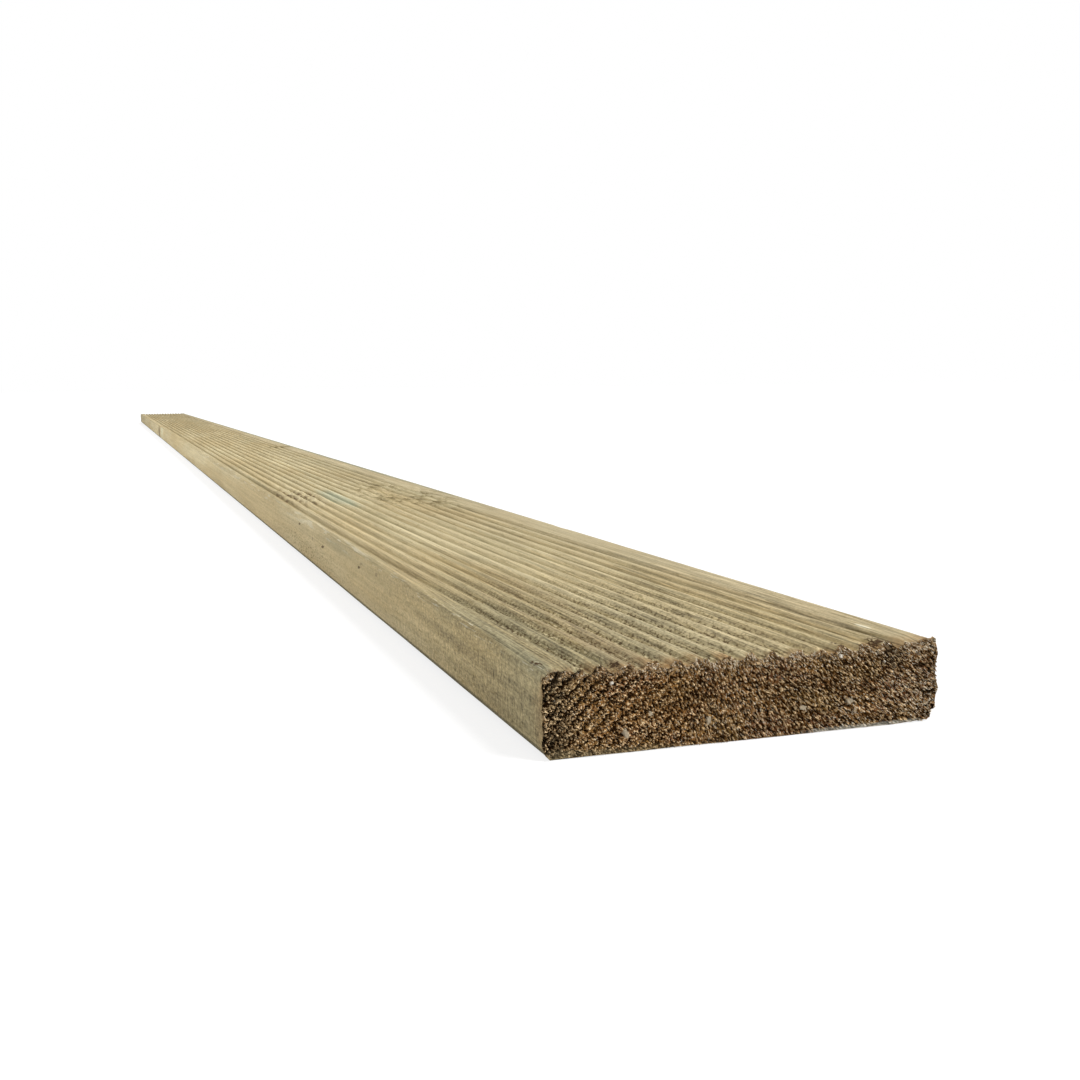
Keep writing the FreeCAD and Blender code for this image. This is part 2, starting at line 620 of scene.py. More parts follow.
@dataclass(frozen=True)
class EndGrain:
    """The torn grain of a sawn end: strokes that stand proud and pores that lie deep."""

    rings: GrowthRings
    rake: float = 0.53
    rake_gain: float = 9.8
    net_border: Span = (-0.010, -0.042)
    stroke: Grain = Grain((0.00060, 0.020, 0.0013), seed=11.0, roughness=0.55)
    stroke_net: Grain = Grain((0.00060, 0.020, 0.00060), seed=33.0)
    pore: Grain = Grain((0.00062, 0.020, 0.0011), seed=13.0)
    pore_gain: float = 0.012
    pore_net: Grain = Grain((0.00060, 0.020, 0.00060), seed=34.0)
    late_level: float = 0.35
    late_gain: float = 0.12
    pore_window: Span = (0.49, 0.54)
    edge: float = 0.070
    pit: Grain = Grain((0.0013, 0.020, 0.0040), seed=16.0, window=(0.50, 0.57))
    pit_slope: float = -0.78
    pit_strip: Span = (0.011, 0.002)
    dot: Grain = Grain((0.0010, 0.020, 0.0010), seed=35.0, window=(0.46, 0.54))
    dot_rings: Span = (0.35, 0.80)
    dot_slope: float = -0.8
    dot_strip: Span = (0.018, -0.010)
    nick: Grain = Grain((0.0013, 0.020, 0.0015), seed=21.0, window=(0.52, 0.58))
    nick_strip: Span = (0.0590, 0.0680)
    dullness: Grain = Grain((0.020, 0.030, 0.013), seed=17.0, window=(0.42, 0.60))
    near_half: Span = (0.0, -0.01)
    scorch: Blemish = Blemish((Mark(0.0530, 0.0235, 0.0060, 0.0052),), window=(0.2, 0.8))
    rim_slope: float = 0.03
    left_rim: Span = (0.0014, -0.0010)
    left_rim_reach: Span = (0.010, -0.050)
    right_rim: Span = (0.0014, 0.0007)
    right_rim_start: Span = (0.018, 0.026)
    right_rim_end: Span = (0.066, 0.062)
    chips: Blemish = Blemish(
        (
            Mark(-0.0475, 0.0224, 0.0008, 0.0007),
            Mark(0.0331, 0.0247, 0.0006, 0.0008),
            Mark(0.0498, 0.0216, 0.0005, 0.0005),
            Mark(-0.0430, 0.0060, 0.0011, 0.0018, slant=-0.3),
            Mark(-0.0145, 0.0078, 0.0010, 0.0015),
            Mark(-0.0345, 0.0116, 0.0009, 0.0008),
            Mark(0.0193, 0.0087, 0.0014, 0.0009),
            Mark(0.0369, 0.0094, 0.0014, 0.0012),
        ),
        window=(0.35, 0.55),
    )
    chip_edge: Grain = Grain((0.0009, 0.020, 0.0011), seed=30.0, roughness=0.6)

    def slope(self, x: Link) -> Link:
        """Return how far the strokes run to the right for each metre down, more towards the right."""
        return x * self.rake_gain + self.rake

    def way(self, bench: Bench, place: Link) -> Link:
        """Return the direction of the strokes at a place."""
        x, _, _ = bench.axes(place)
        return bench.vector(self.slope(x), 0.0, -1.0)

    def raked(self, bench: Bench, place: Link) -> Link:
        """Return coordinates in which the strokes stand upright."""
        x, y, z = bench.axes(place)
        return bench.vector(x + z * self.slope(x), y, z)

    def netted(self, x: Link) -> Link:
        """Return how far the grain is a net of dots rather than strokes, which it is at the left."""
        return x.step(self.net_border)

    def strokes(self, bench: Bench, place: Link) -> Link:
        """Return the strokes, from 0 to 1.

        Args:
            bench: The tree that is being built.
            place: Coordinates in metres.

        Returns:
            The strokes.
        """
        x, _, _ = bench.axes(place)
        net = self.netted(x)
        drawn = self.stroke.noise(bench, self.raked(bench, place))
        return self.stroke_net.noise(bench, place) * net + drawn * (1.0 - net)

    def pores(self, bench: Bench, place: Link) -> Link:
        """Return the pores, from 0 to 1, which follow the rings at the left.

        Args:
            bench: The tree that is being built.
            place: Coordinates in metres.

        Returns:
            The pores.
        """
        x, _, _ = bench.axes(place)
        net = self.netted(x)
        late = self.rings.late_wood(bench, place) - self.late_level
        drawn = self.pore.noise(bench, self.raked(bench, place)) + self.pore_gain
        dotted = self.pore_net.noise(bench, place) + late * self.late_gain
        return (dotted * net + drawn * (1.0 - net)).step(self.pore_window)

    def blotches(self, bench: Bench, place: Link) -> Link:
        """Return the dark pits and dots at the left and the nicks along the right edge, from 0 to 1.

        Args:
            bench: The tree that is being built.
            place: Coordinates in metres.

        Returns:
            The blotches.
        """
        x, y, z = bench.axes(place)
        inward = x + self.edge
        leaning = bench.vector(x + z * self.pit_slope, y, z)
        pits = self.pit.patches(bench, leaning) * inward.step(self.pit_strip)
        lined = self.rings.late_wood(bench, place).step(self.dot_rings)
        dots = self.dot.patches(bench, place) * lined * (inward + z * self.dot_slope).step(self.dot_strip)
        nicks = self.nick.patches(bench, place) * x.step(self.nick_strip)
        return pits.most(dots).most(nicks)

    def scorched(self, bench: Bench, place: Link) -> Link:
        """Return the black patch near the top right of the near end, from 0 to 1."""
        x, y, z = bench.axes(place)
        return self.scorch.presence(x, z) * y.step(self.near_half)

    def dull(self, bench: Bench, place: Link) -> Link:
        """Return the broad patches of darker wood, from 0 to 1."""
        return self.dullness.patches(bench, place)

    def rim(self, bench: Bench, place: Link) -> Link:
        """Return the smooth strip left along the bottom edge, widest at the left, from 0 to 1.

        Args:
            bench: The tree that is being built.
            place: Coordinates in metres.

        Returns:
            The strip.
        """
        x, _, z = bench.axes(place)
        left = (z + x * self.rim_slope).step(self.left_rim) * x.step(self.left_rim_reach)
        right = z.step(self.right_rim) * x.step(self.right_rim_start) * x.step(self.right_rim_end)
        return left + right

    def flakes(self, bench: Bench, place: Link) -> Link:
        """Return the few pale chips and splinters that stand on the near end, from 0 to 1.

        Args:
            bench: The tree that is being built.
            place: Coordinates in metres.

        Returns:
            The flakes.
        """
        x, y, z = bench.axes(place)
        bells = self.chips.bell(x, z) + self.chip_edge.swing(bench, place)
        return bells.step(self.chips.window) * y.step(self.near_half)


class Finish:
    """What the finishes share: a material with one matt shader, from colour and relief."""

    name = "finish"
    roughness = 0.9
    shine = 0.02
    bump_strength = 0.7
    bump_depth = 0.0005

    def build(self) -> bpy.types.Material:
        """Return the finished material.

        Returns:
            The material.
        """
        material = bpy.data.materials.new(self.name)
        material.use_nodes = True
        bench = Bench(material.node_tree)
        place = bench.add("ShaderNodeTexCoord").output("Object")
        colour, height = self.surface(bench, place)
        sockets = {"Base Color": colour, "Roughness": self.roughness, "Specular IOR Level": self.shine}
        if height is not None:
            relief = {"Strength": self.bump_strength, "Distance": self.bump_depth, "Height": height}
            sockets["Normal"] = bench.add("ShaderNodeBump", None, relief)
        shader = bench.add("ShaderNodeBsdfPrincipled", None, sockets)
        bench.add("ShaderNodeOutputMaterial", None, {"Surface": shader})
        return material

    def surface(self, bench: Bench, place: Link) -> tuple[Link, Link | None]:
        """Return the colour, and the height of the relief if it has any, from coordinates in metres."""
        raise NotImplementedError


@dataclass(frozen=True)
class PlanedFinish(Finish):
    """Planed and grooved faces: pale treated softwood with fine grain, dirt, stains and knots, and painted
    light and shade.
    """

    rings: GrowthRings
    near_end: float
    name = "planed_softwood"
    shine = 0.15
    bump_depth = 0.0007

    # Colours
    pale: Colour = (0.62, 0.530, 0.325)
    warm: Colour = (0.53, 0.425, 0.235)
    green_grey: Colour = (0.42, 0.375, 0.225)
    late: Colour = (0.39, 0.290, 0.135)
    # Dirt, which is also the colour of the painted shade in the grooves
    dirt_and_shade: Colour = (0.20, 0.152, 0.058)
    # Grime, which is also the colour of the painted shade near the near end
    grime_and_shade: Colour = (0.19, 0.140, 0.052)
    torn: Colour = (0.25, 0.150, 0.068)
    dark: Colour = (0.075, 0.042, 0.018)
    knot: Colour = (0.11, 0.058, 0.026)
    rust: Colour = (0.34, 0.190, 0.075)
    mauve: Colour = (0.36, 0.262, 0.158)
    teal: Colour = (0.27, 0.270, 0.180)
    weathered: Colour = (0.42, 0.350, 0.225)
    stain_pale: Colour = (0.57, 0.600, 0.430)
    stain_deep: Colour = (0.21, 0.270, 0.200)
    chalk: Colour = (0.74, 0.700, 0.540)
    # Painted shadow along the bottom edges
    edge_shadow: Colour = (0.12, 0.105, 0.060)

    # Fine grain, which changes the tone everywhere
    side_face: Span = (0.0690, 0.0698)
    rough_stretch: Span = (0.35, 0.03)
    fibre: Grain = Grain(
        (0.0017, 0.220, 0.0017), 1.0, detail=4.0, roughness=0.65, strength=1.1, side=-0.6, relief=0.7
    )
    streaks: Grain = Grain(
        (0.0007, 0.040, 0.0007), 23.0, roughness=0.6, strength=0.7, near=1.5, side=-0.525, near_side=-1.125,
        relief=0.7,
    )
    grit: Grain = Grain(
        (0.0009, 0.0020, 0.0009), 4.0, detail=3.0, roughness=0.65, strength=0.4, near=0.5, side=0.2,
        near_side=0.9, relief=0.3,
    )
    chatter: Grain = Grain((0.0040, 0.0009, 0.0040), 37.0, roughness=0.6, strength=0.0, near_side=1.3)
    blur: Grain = Grain((0.010, 0.160, 0.004), 38.0, strength=0.0, side=0.4, near_side=0.7)

    # Clean wood, the dirt and painted shade in its grooves, and painted light and shade on the top
    near_stretch: Span = (0.30, 0.02)
    far_stretch: Span = (1.2, 2.6)
    # Painted shade: the top is darker and warmer towards the far end
    far_warmth: float = 0.45
    far_shade: float = 0.07
    broad: Grain = Grain((0.050, 0.300, 0.030), 6.0, detail=3.0, window=(0.38, 0.66))
    greenish: tuple[Grain, ...] = (
        Grain(
            (0.0040, 0.350, 0.0040), 2.0, detail=3.0, roughness=0.55, window=(0.48, 0.68), strength=0.40,
            side=-0.25,
        ),
        Grain((0.025, 0.120, 0.025), 9.0, detail=3.0, window=(0.52, 0.70), strength=0.30, side=-0.15),
    )
    late_share: float = 0.22
    late_side: float = -0.10
    groove_mouth: Span = (0.0, 0.15)
    # Dirt and painted shade in the grooves: darker with depth, more near the near end and most at its left
    groove_dirt_and_shade: float = 0.02
    near_dirt_and_shade: float = 0.07
    left_dirt_and_shade: Zone = Zone(across=(0.020, -0.040), strength=0.13)
    # Painted shadow: a dark line along each groove's wall that faces left, stronger beyond the near stretch
    shade_line: Span = (0.30, 0.15)
    line_share: float = 0.40
    far_line: Zone = Zone(along=(0.40, 0.90), strength=0.30)
    weathered_strip: Zone = Zone(across=(0.040, 0.060), strength=0.45)
    dash: Grain = Grain((0.0014, 0.014, 0.0014), 10.0, window=(0.58, 0.68), strength=0.25, near=0.30)
    # Darker towards the far end
    far_end_strip: Span = (0.120, 0.010)
    far_end_darkening: float = 0.45
    # Painted light: the top's left half brighter in its middle stretch, turning to a slight darkening at
    # its left edge
    lit_side: Zone = Zone(across=(0.035, -0.010))
    lit_edge: Zone = Zone(across=(-0.062, -0.054), strength=1.6)
    edge_shade: float = 0.6
    lit_gain: float = 0.10

    # Wear and painted shade near the near end
    # Painted shade, partly grime: the near stretch darker over its left part
    shade: Zone = Zone(across=(0.015, -0.060), along=(0.30, 0.03))
    shade_share: float = 0.53
    scores: Blemish = Blemish(
        (
            Mark(0.0655, -2.060, 0.00045, 0.050, slant=0.07),
            Mark(0.0555, -2.065, 0.00045, 0.040, slant=-0.08),
        ),
        strength=0.75,
    )
    scored_face: Zone = Zone(up=(0.025, 0.026))
    tinted_face: Zone = Zone(up=(0.0235, 0.0250))
    teal_hue: Grain = Grain((0.0075, 0.180, 0.020), 39.0, detail=1.0, window=(0.52, 0.62), strength=0.34)
    mauve_hue: Grain = Grain((0.0075, 0.180, 0.020), 39.0, detail=1.0, window=(0.48, 0.38), strength=0.42)
    gritty: Zone = Zone(across=(0.060, 0.0), along=(0.26, 0.06))
    gritty_face: float = 0.28
    gritty_groove: float = 0.68
    dark_specks: Grain = Grain((0.0009, 0.0020, 0.0009), 36.0, window=(0.55, 0.59))
    pale_specks: Grain = Grain((0.0009, 0.0020, 0.0009), 36.0, window=(0.42, 0.38), strength=0.8)
    tearing: Grain = Grain((0.0016, 0.0060, 0.0050), 20.0, window=(0.36, 0.60), strength=0.75)
    torn_stretch: Zone = Zone(along=(0.006, -0.001))
    rusting: Grain = Grain((0.0060, 0.030, 0.0200), 7.0, window=(0.45, 0.58), strength=0.5)
    rusty_stretch: Zone = Zone(along=(0.014, 0.001))
    end_tints: Blemish = Blemish(
        (Mark(-0.045, -2.083, 0.004, 0.014), Mark(-0.069, -2.090, 0.004, 0.030)), strength=0.30
    )
    upper: Zone = Zone(up=(0.022, 0.025))
    breaking: Grain = Grain((0.0010, 0.0022, 0.0010), 19.0, roughness=0.6, window=(0.44, 0.56))
    end_spots: Blemish = Blemish(
        (
            Mark(-0.0450, -2.095, 0.0014, 0.0040),
            Mark(-0.0680, -2.088, 0.0014, 0.0040),
            Mark(0.0350, -2.097, 0.0022, 0.0050),
            Mark(0.0500, -2.096, 0.0030, 0.0060),
        ),
        window=(0.15, 0.5),
    )
    spot_core: Span = (0.84, 0.94)
    fleck: Blemish = Blemish((Mark(0.059, -2.072, 0.0013, 0.0055),), window=(0.25, 0.7), strength=0.6)

    # Knots and the stain beside them
    knot_line: Span = (0.36, 0.25)
    knot_face: float = 0.14
    knot_groove: float = 0.86
    dashed_share: float = 0.50
    darkest: Blemish = Blemish((Mark(-0.046, -1.430, 0.014, 0.034),), strength=0.50)
    scaly_share: float = 0.55
    stain: Blemish = Blemish((Mark(-0.0215, -1.452, 0.008, 0.085),), window=(0.15, 0.70), strength=0.60)
    stained_groove: Span = (0.15, 0.60)
    streaked: Span = (0.15, 0.7)
    streak_share: float = 0.65

    # Wear of the sides and their edges, with painted light along the left side and a painted shadow along
    # the bottom edges
    left_face: Zone = Zone(across=(-0.0685, -0.0698))
    damp: Grain = Grain((0.020, 0.040, 0.007), 31.0, window=(0.42, 0.64), strength=0.12)
    damp_stretch: Zone = Zone(along=(0.45, 0.02), up=(0.004, 0.020))
    brown_stretch: Zone = Zone(along=(0.60, 0.05), strength=0.22)
    # Painted light: the left side is brighter towards the near end and slightly darker elsewhere
    bright_stretch: Zone = Zone(along=(2.6, 0.6), strength=0.18)
    side_shade: float = 0.06
    right_edge: Zone = Zone(across=(0.0672, 0.0695))
    right_strip: Zone = Zone(across=(0.0620, 0.0650), along=(0.25, 1.0))
    right_arris: Zone = Zone(up=(0.023, 0.025), strength=0.75)
    scuff: Grain = Grain((0.0030, 0.050, 0.0030), 40.0, window=(0.54, 0.62))
    scuffed: Zone = Zone(across=(-0.0655, -0.0680), along=(0.26, 0.32), up=(0.0225, 0.0250))
    scuffs_end: Zone = Zone(along=(1.7, 1.2))
    scuff_share: float = 0.28
    scuffed_most: Zone = Zone(along=(0.55, 0.42), strength=0.16)
    flaking: Grain = Grain((0.0008, 0.0160, 0.0008), 32.0, window=(0.59, 0.68), strength=0.45)
    flaked: Zone = Zone(across=(-0.0655, -0.0672), along=(0.45, 0.10), up=(0.0245, 0.0258))
    # Painted shadow: a dark line along the bottom edges of both sides
    low_edge: Span = (0.060, 0.064)
    edge_shadow_strip: Zone = Zone(up=(0.0036, 0.0028), strength=0.8)
    specks: Grain = Grain((0.0020, 0.0034, 0.0012), 14.0, window=(0.54, 0.64))
    speck_share: float = 0.18
    speckled: Blemish = Blemish((Mark(0.009, -1.600, 0.008, 0.110),), strength=0.65)
    side_grey: Blemish = Blemish((Mark(0.0235, -1.735, 0.0040, 0.045),), strength=0.35)
    side_holes: Blemish = Blemish(
        (
            Mark(0.0177, -1.6842, 0.0010, 0.0060, slant=-0.115),
            Mark(0.0206, -1.8017, 0.0009, 0.0038, slant=-0.125),
            Mark(0.0223, -1.5882, 0.0009, 0.0048, slant=-0.100),
        ),
        window=(0.3, 0.7),
        strength=0.8,
    )
    side_ticks: Blemish = Blemish(
        (
            Mark(0.0232, -1.8079, 0.0010, 0.0026, slant=-0.125),
            Mark(0.0230, -1.8473, 0.0012, 0.0040, slant=-0.130),
            Mark(0.0183, -1.8786, 0.0022, 0.0013),
            Mark(0.0183, -1.6441, 0.0014, 0.0034, slant=-0.110),
        ),
        window=(0.3, 0.7),
        strength=0.35,
    )
    side_knot: Blemish = Blemish((Mark(0.014, 0.655, 0.016, 0.045),), window=(0.2, 0.8), strength=0.6)
    side_sheen: Blemish = Blemish((Mark(0.022, 0.520, 0.014, 0.040),), strength=0.5)

    def surface(self, bench: Bench, place: Link) -> tuple[Link, Link | None]:
        """Return the colour and the relief.

        Args:
            bench: The tree that is being built.
            place: Coordinates in metres.

        Returns:
            The colour, and the height of the relief.
        """
        x, y, _ = bench.axes(place)
        side = abs(x).step(self.side_face)
        near = (y - self.near_end).step(self.rough_stretch)
        tone, height = 1.0, 0.0
        for pattern in (self.fibre, self.streaks, self.grit, self.chatter, self.blur):
            swing = pattern.swing(bench, place)
            tone = tone + swing * pattern.strength_at(near, side)
            height = height + swing * pattern.relief
        colour = self.wood(bench, place)
        for wear in (self.near_end_wear_and_shade, self.knots, self.side_wear_and_light):
            colour = wear(bench, place, colour)
        return bench.mix(1.0, colour, tone, "MULTIPLY"), height

    def line(self, bench: Bench, span: Span) -> Link:
        """Return a line along the grooves' walls, from its middle and reach as shares of the way up."""
        return bench.surface(LEE).square(*span).decay(1.0) * bench.surface(GROOVE).step(self.groove_mouth)

    def wood(self, bench: Bench, place: Link) -> Link:
        """Return the colour of the clean wood, with dirt and painted shade in its grooves, a painted shadow
        line on their walls, painted light on the top's left half and painted shade towards the far end.

        Args:
            bench: The tree that is being built.
            place: Coordinates in metres.

        Returns:
            The colour.
        """
        x, y, z = bench.axes(place)
        distance = y - self.near_end
        spot = (x, distance, z)
        side = abs(x).step(self.side_face)
        near = distance.step(self.near_stretch)
        far = distance.step(self.far_stretch) * (1.0 - side)
        # painted shade: darker and warmer towards the far end of the top
        colour = bench.mix(self.broad.patches(bench, place) + far * self.far_warmth, self.pale, self.warm)
        for grain in self.greenish:
            share = grain.patches(bench, place) * grain.strength_at(near, side)
            colour = bench.mix(share, colour, self.green_grey)
        late = self.rings.late_wood(bench, place) * (self.late_share + side * self.late_side)
        # dirt and painted shade in the grooves
        soiled_and_shaded = self.groove_dirt_and_shade + near * (self.near_dirt_and_shade + self.left_dirt_and_shade.presence(*spot))
        # a painted shadow line along the grooves' left-facing walls
        lined = self.line(bench, self.shade_line) * (self.line_share + self.far_line.presence(*spot))
        far_end = (-self.near_end - y).step(self.far_end_strip)
        colour = bench.layered(
            colour,
            (late, self.late),
            (bench.surface(GROOVE) * soiled_and_shaded + lined, self.dirt_and_shade),
            (self.weathered_strip.presence(*spot) * (1.0 - side), self.weathered),
            (self.dash.patches(bench, place) * self.dash.strength_at(near, side), self.dirt_and_shade),
            (far_end * self.far_end_darkening, self.dirt_and_shade),
        )
        # painted light over the top's left half, darker at its left edge
        lit = (1.0 - near) * (1.0 - far) * (1.0 - side) * self.lit_side.presence(*spot)
        lit = lit * (self.lit_edge.presence(*spot) - self.edge_shade)
        return bench.mix(1.0, colour, 1.0 + lit * self.lit_gain - far * self.far_shade, "MULTIPLY")

    def near_end_wear_and_shade(self, bench: Bench, place: Link, colour: Link) -> Link:
        """Return the colour with what lies near the near end: painted shade with grime, rust, tints, dark
        spots and a fleck.

        Args:
            bench: The tree that is being built.
            place: Coordinates in metres.
            colour: The colour so far.

        Returns:
            The colour.
        """
        x, y, z = bench.axes(place)
        spot = (x, y - self.near_end, z)
        shade = self.shade.presence(*spot)
        scored = self.scores.presence(x, y) * self.scored_face.presence(*spot)
        tinted = shade * self.tinted_face.presence(*spot)
        gritty = self.gritty_face + bench.surface(GROOVE) * self.gritty_groove
        gritty = gritty * self.gritty.presence(*spot)
        upper = self.upper.presence(*spot)
        spots = self.end_spots.presence(x, y) * self.breaking.patches(bench, place)
        spots = spots.most(self.end_spots.bell(x, y).step(self.spot_core))
        return bench.layered(
            # painted shade with grime near the near end, and the score marks
            colour,
            (shade * self.shade_share + scored, self.grime_and_shade),
            (self.teal_hue.tint(bench, place) * tinted, self.teal),
            (self.mauve_hue.tint(bench, place) * tinted, self.mauve),
            (self.dark_specks.tint(bench, place) * gritty, self.dark),
            (self.pale_specks.tint(bench, place) * gritty, self.pale),
            (self.tearing.tint(bench, place) * self.torn_stretch.presence(*spot), self.torn),
            (self.rusting.tint(bench, place) * self.rusty_stretch.presence(*spot), self.rust),
            (self.end_tints.presence(x, y), self.teal),
            (spots * upper, self.dark),
            (self.fleck.presence(x, y) * upper, self.chalk),
        )

    def knots(self, bench: Bench, place: Link, colour: Link) -> Link:
        """Return the colour with the knots and the green stain beside them.

        Args:
            bench: The tree that is being built.
            place: Coordinates in metres.
            colour: The colour so far.

        Returns:
            The colour.
        """
        x, y, _ = bench.axes(place)
        dashes = self.rings.dashes(bench, place) * (self.dashed_share + self.darkest.presence(x, y))
        lined = self.knot_face + self.line(bench, self.knot_line) * self.knot_groove
        tint = bench.mix(bench.surface(GROOVE).step(self.stained_groove), self.stain_pale, self.stain_deep)
        return bench.layered(
            colour,
            (dashes * lined, self.knot),
            (self.rings.scales(bench, place) * self.scaly_share, self.dirt_and_shade),
            (self.stain.presence(x, y), tint),
            (self.rings.streak.presence(x, y).step(self.streaked) * self.streak_share, self.dirt_and_shade),
        )

    def side_wear_and_light(self, bench: Bench, place: Link, colour: Link) -> Link:
        """Return the colour with the wear of the sides: grey and pale edges, holes, specks and a knot,
        painted light along the left side and a painted shadow along the bottom edges.

        Args:
            bench: The tree that is being built.
            place: Coordinates in metres.
            colour: The colour so far.

        Returns:
            The colour.
        """
        x, y, z = bench.axes(place)
        spot = (x, y - self.near_end, z)
        left = self.left_face.presence(*spot)
        colour = bench.layered(
            colour,
            (self.damp.tint(bench, place) * self.damp_stretch.presence(*spot) * left, self.teal),
            (self.brown_stretch.presence(*spot) * left, self.late),
        )
        # painted light along the left side
        brighter = self.bright_stretch.presence(*spot) - self.side_shade
        colour = bench.mix(1.0, colour, 1.0 + left * brighter, "MULTIPLY")
        rim = self.right_edge.presence(*spot).most(self.right_strip.presence(*spot))
        scuffs = self.scuff.patches(bench, place) * self.scuffed.presence(*spot)
        scuffs = scuffs * self.scuffs_end.presence(*spot)
        holes = self.side_holes.presence(z, y).most(self.side_ticks.presence(z, y))
        return bench.layered(
            colour,
            (rim * self.right_arris.presence(*spot), self.teal),
            (scuffs * (self.scuff_share + self.scuffed_most.presence(*spot)), self.chalk),
            (self.flaking.tint(bench, place) * self.flaked.presence(*spot), self.chalk),
            # a painted shadow line along the bottom edges
            (self.edge_shadow_strip.presence(*spot) * abs(x).step(self.low_edge), self.edge_shadow),
            (self.specks.patches(bench, place) * (self.speck_share + self.speckled.presence(z, y)) * left,
             self.dirt_and_shade),
            (self.side_grey.presence(z, y) * left, self.teal),
            (self.side_sheen.presence(z, y) * left, self.stain_pale),
            (holes.most(self.side_knot.presence(z, y)) * left, self.dark),
        )


@dataclass(frozen=True)
class SawnFinish(Finish):
    """Sawn end grain: dark pores and rings, brown wood and pale torn strokes."""

    rings: GrowthRings
    grain: EndGrain
    name = "sawn_end_grain"
    black: Colour = (0.016, 0.009, 0.004)
    dark: Colour = (0.032, 0.011, 0.0015)
    brown: Colour = (0.35, 0.178, 0.056)
    umber: Colour = (0.16, 0.074, 0.018)
    plum: Colour = (0.25, 0.113, 0.056)
    gold: Colour = (0.36, 0.230, 0.078)
    orange: Colour = (0.36, 0.188, 0.063)
    olive: Colour = (0.34, 0.270, 0.155)
    tan: Colour = (0.48, 0.330, 0.175)
    grey: Colour = (0.55, 0.530, 0.460)
    straw: Colour = (0.84, 0.635, 0.375)
    bone: Colour = (0.46, 0.390, 0.280)
    chalk: Colour = (0.86, 0.820, 0.720)
    plum_hue: Grain = Grain((0.016, 0.030, 0.008), 25.0, window=(0.50, 0.62), strength=0.8)
    gold_hue: Grain = Grain((0.016, 0.030, 0.008), 25.0, window=(0.48, 0.38), strength=0.6)
    warm_patch: Blemish = Blemish((Mark(-0.036, 0.012, 0.020, 0.010),), strength=0.8)
    left_strip: Span = (0.016, 0.004)
    left_share: float = 0.8
    late_share: float = 0.45
    proud: Span = (0.53, 0.60)
    proud_share: float = 0.90
    drawn: Span = (0.51, 0.56)
    drawn_share: float = 0.60
    drawn_right: Span = (0.0, 0.05)
    drawn_gain: float = 0.3
    top_strip: Span = (0.0225, 0.0265)
    top_share: float = 0.7
    pore_share: float = 0.96
    top_pores: float = 0.6
    scorch_share: float = 0.75
    scorch_strokes: Span = (0.50, 0.58)
    scorch_gain: float = 0.45
    blotch_share: float = 0.95
    grey_rim: Span = (0.0, 0.02)
    rim_share: float = 0.8
    grit: Grain = Grain((0.0006, 0.010, 0.0006), 18.0, roughness=0.6, strength=1.8)
    chalky: Span = (0.015, 0.018)
    flake_share: float = 0.85

    def surface(self, bench: Bench, place: Link) -> tuple[Link, Link | None]:
        """Return the colour and the relief.

        Args:
            bench: The tree that is being built.
            place: Coordinates in metres.

        Returns:
            The colour, and the height of the relief.
        """
        x, _, z = bench.axes(place)
        strokes = self.grain.strokes(bench, place)
        grit = self.grit.swing(bench, place)
        drawn = self.drawn_share + x.step(self.drawn_right) * self.drawn_gain
        drawn = drawn * (1.0 - self.grain.netted(x))
        upper = z.step(self.top_strip) * self.top_share
        scorched = self.scorch_share - strokes.step(self.scorch_strokes) * self.scorch_gain
        colour = bench.mix(self.grain.dull(bench, place), self.brown, self.umber)
        colour = bench.layered(
            colour,
            (self.plum_hue.tint(bench, place), self.plum),
            (self.gold_hue.tint(bench, place), self.gold),
            (self.warm_patch.presence(x, z), self.orange),
            ((x + self.grain.edge).step(self.left_strip) * self.left_share, self.olive),
            (self.rings.late_wood(bench, place) * self.late_share, self.umber),
            (strokes.step(self.proud) * self.proud_share, self.straw),
            (strokes.step(self.drawn) * drawn, self.straw),
            (upper, self.tan),
            (self.grain.pores(bench, place) * (self.pore_share - upper * self.top_pores), self.dark),
            (self.grain.scorched(bench, place) * scorched, self.black),
            (self.grain.blotches(bench, place) * self.blotch_share, self.black),
            (self.grain.rim(bench, place) * self.rim_share,
             bench.mix(x.step(self.grey_rim), self.olive, self.grey)),
        )
        colour = bench.mix(1.0, colour, 1.0 + grit * self.grit.strength, "MULTIPLY")
        flake = bench.mix(z.step(self.chalky), self.bone, self.chalk)
        colour = bench.mix(self.grain.flakes(bench, place) * (self.flake_share + grit), colour, flake)
        return colour, grit


@dataclass(frozen=True)
class FibreFinish(Finish):
    """Torn fibres on the ends: brown to pale straw, one tone to a fibre."""

    name = "torn_fibre"
    stops: tuple[tuple[float, Colour], ...] = (
        (0.0, (0.12, 0.050, 0.009)),
        (0.42, (0.37, 0.198, 0.066)),
        (0.74, (0.74, 0.560, 0.330)),
        (0.92, (0.95, 0.860, 0.690)),
    )

    def surface(self, bench: Bench, place: Link) -> tuple[Link, Link | None]:
        """Return the colour, which follows the fibre's tone alone, and no relief."""
        return bench.ramp(bench.surface(TONE), *self.stops), None


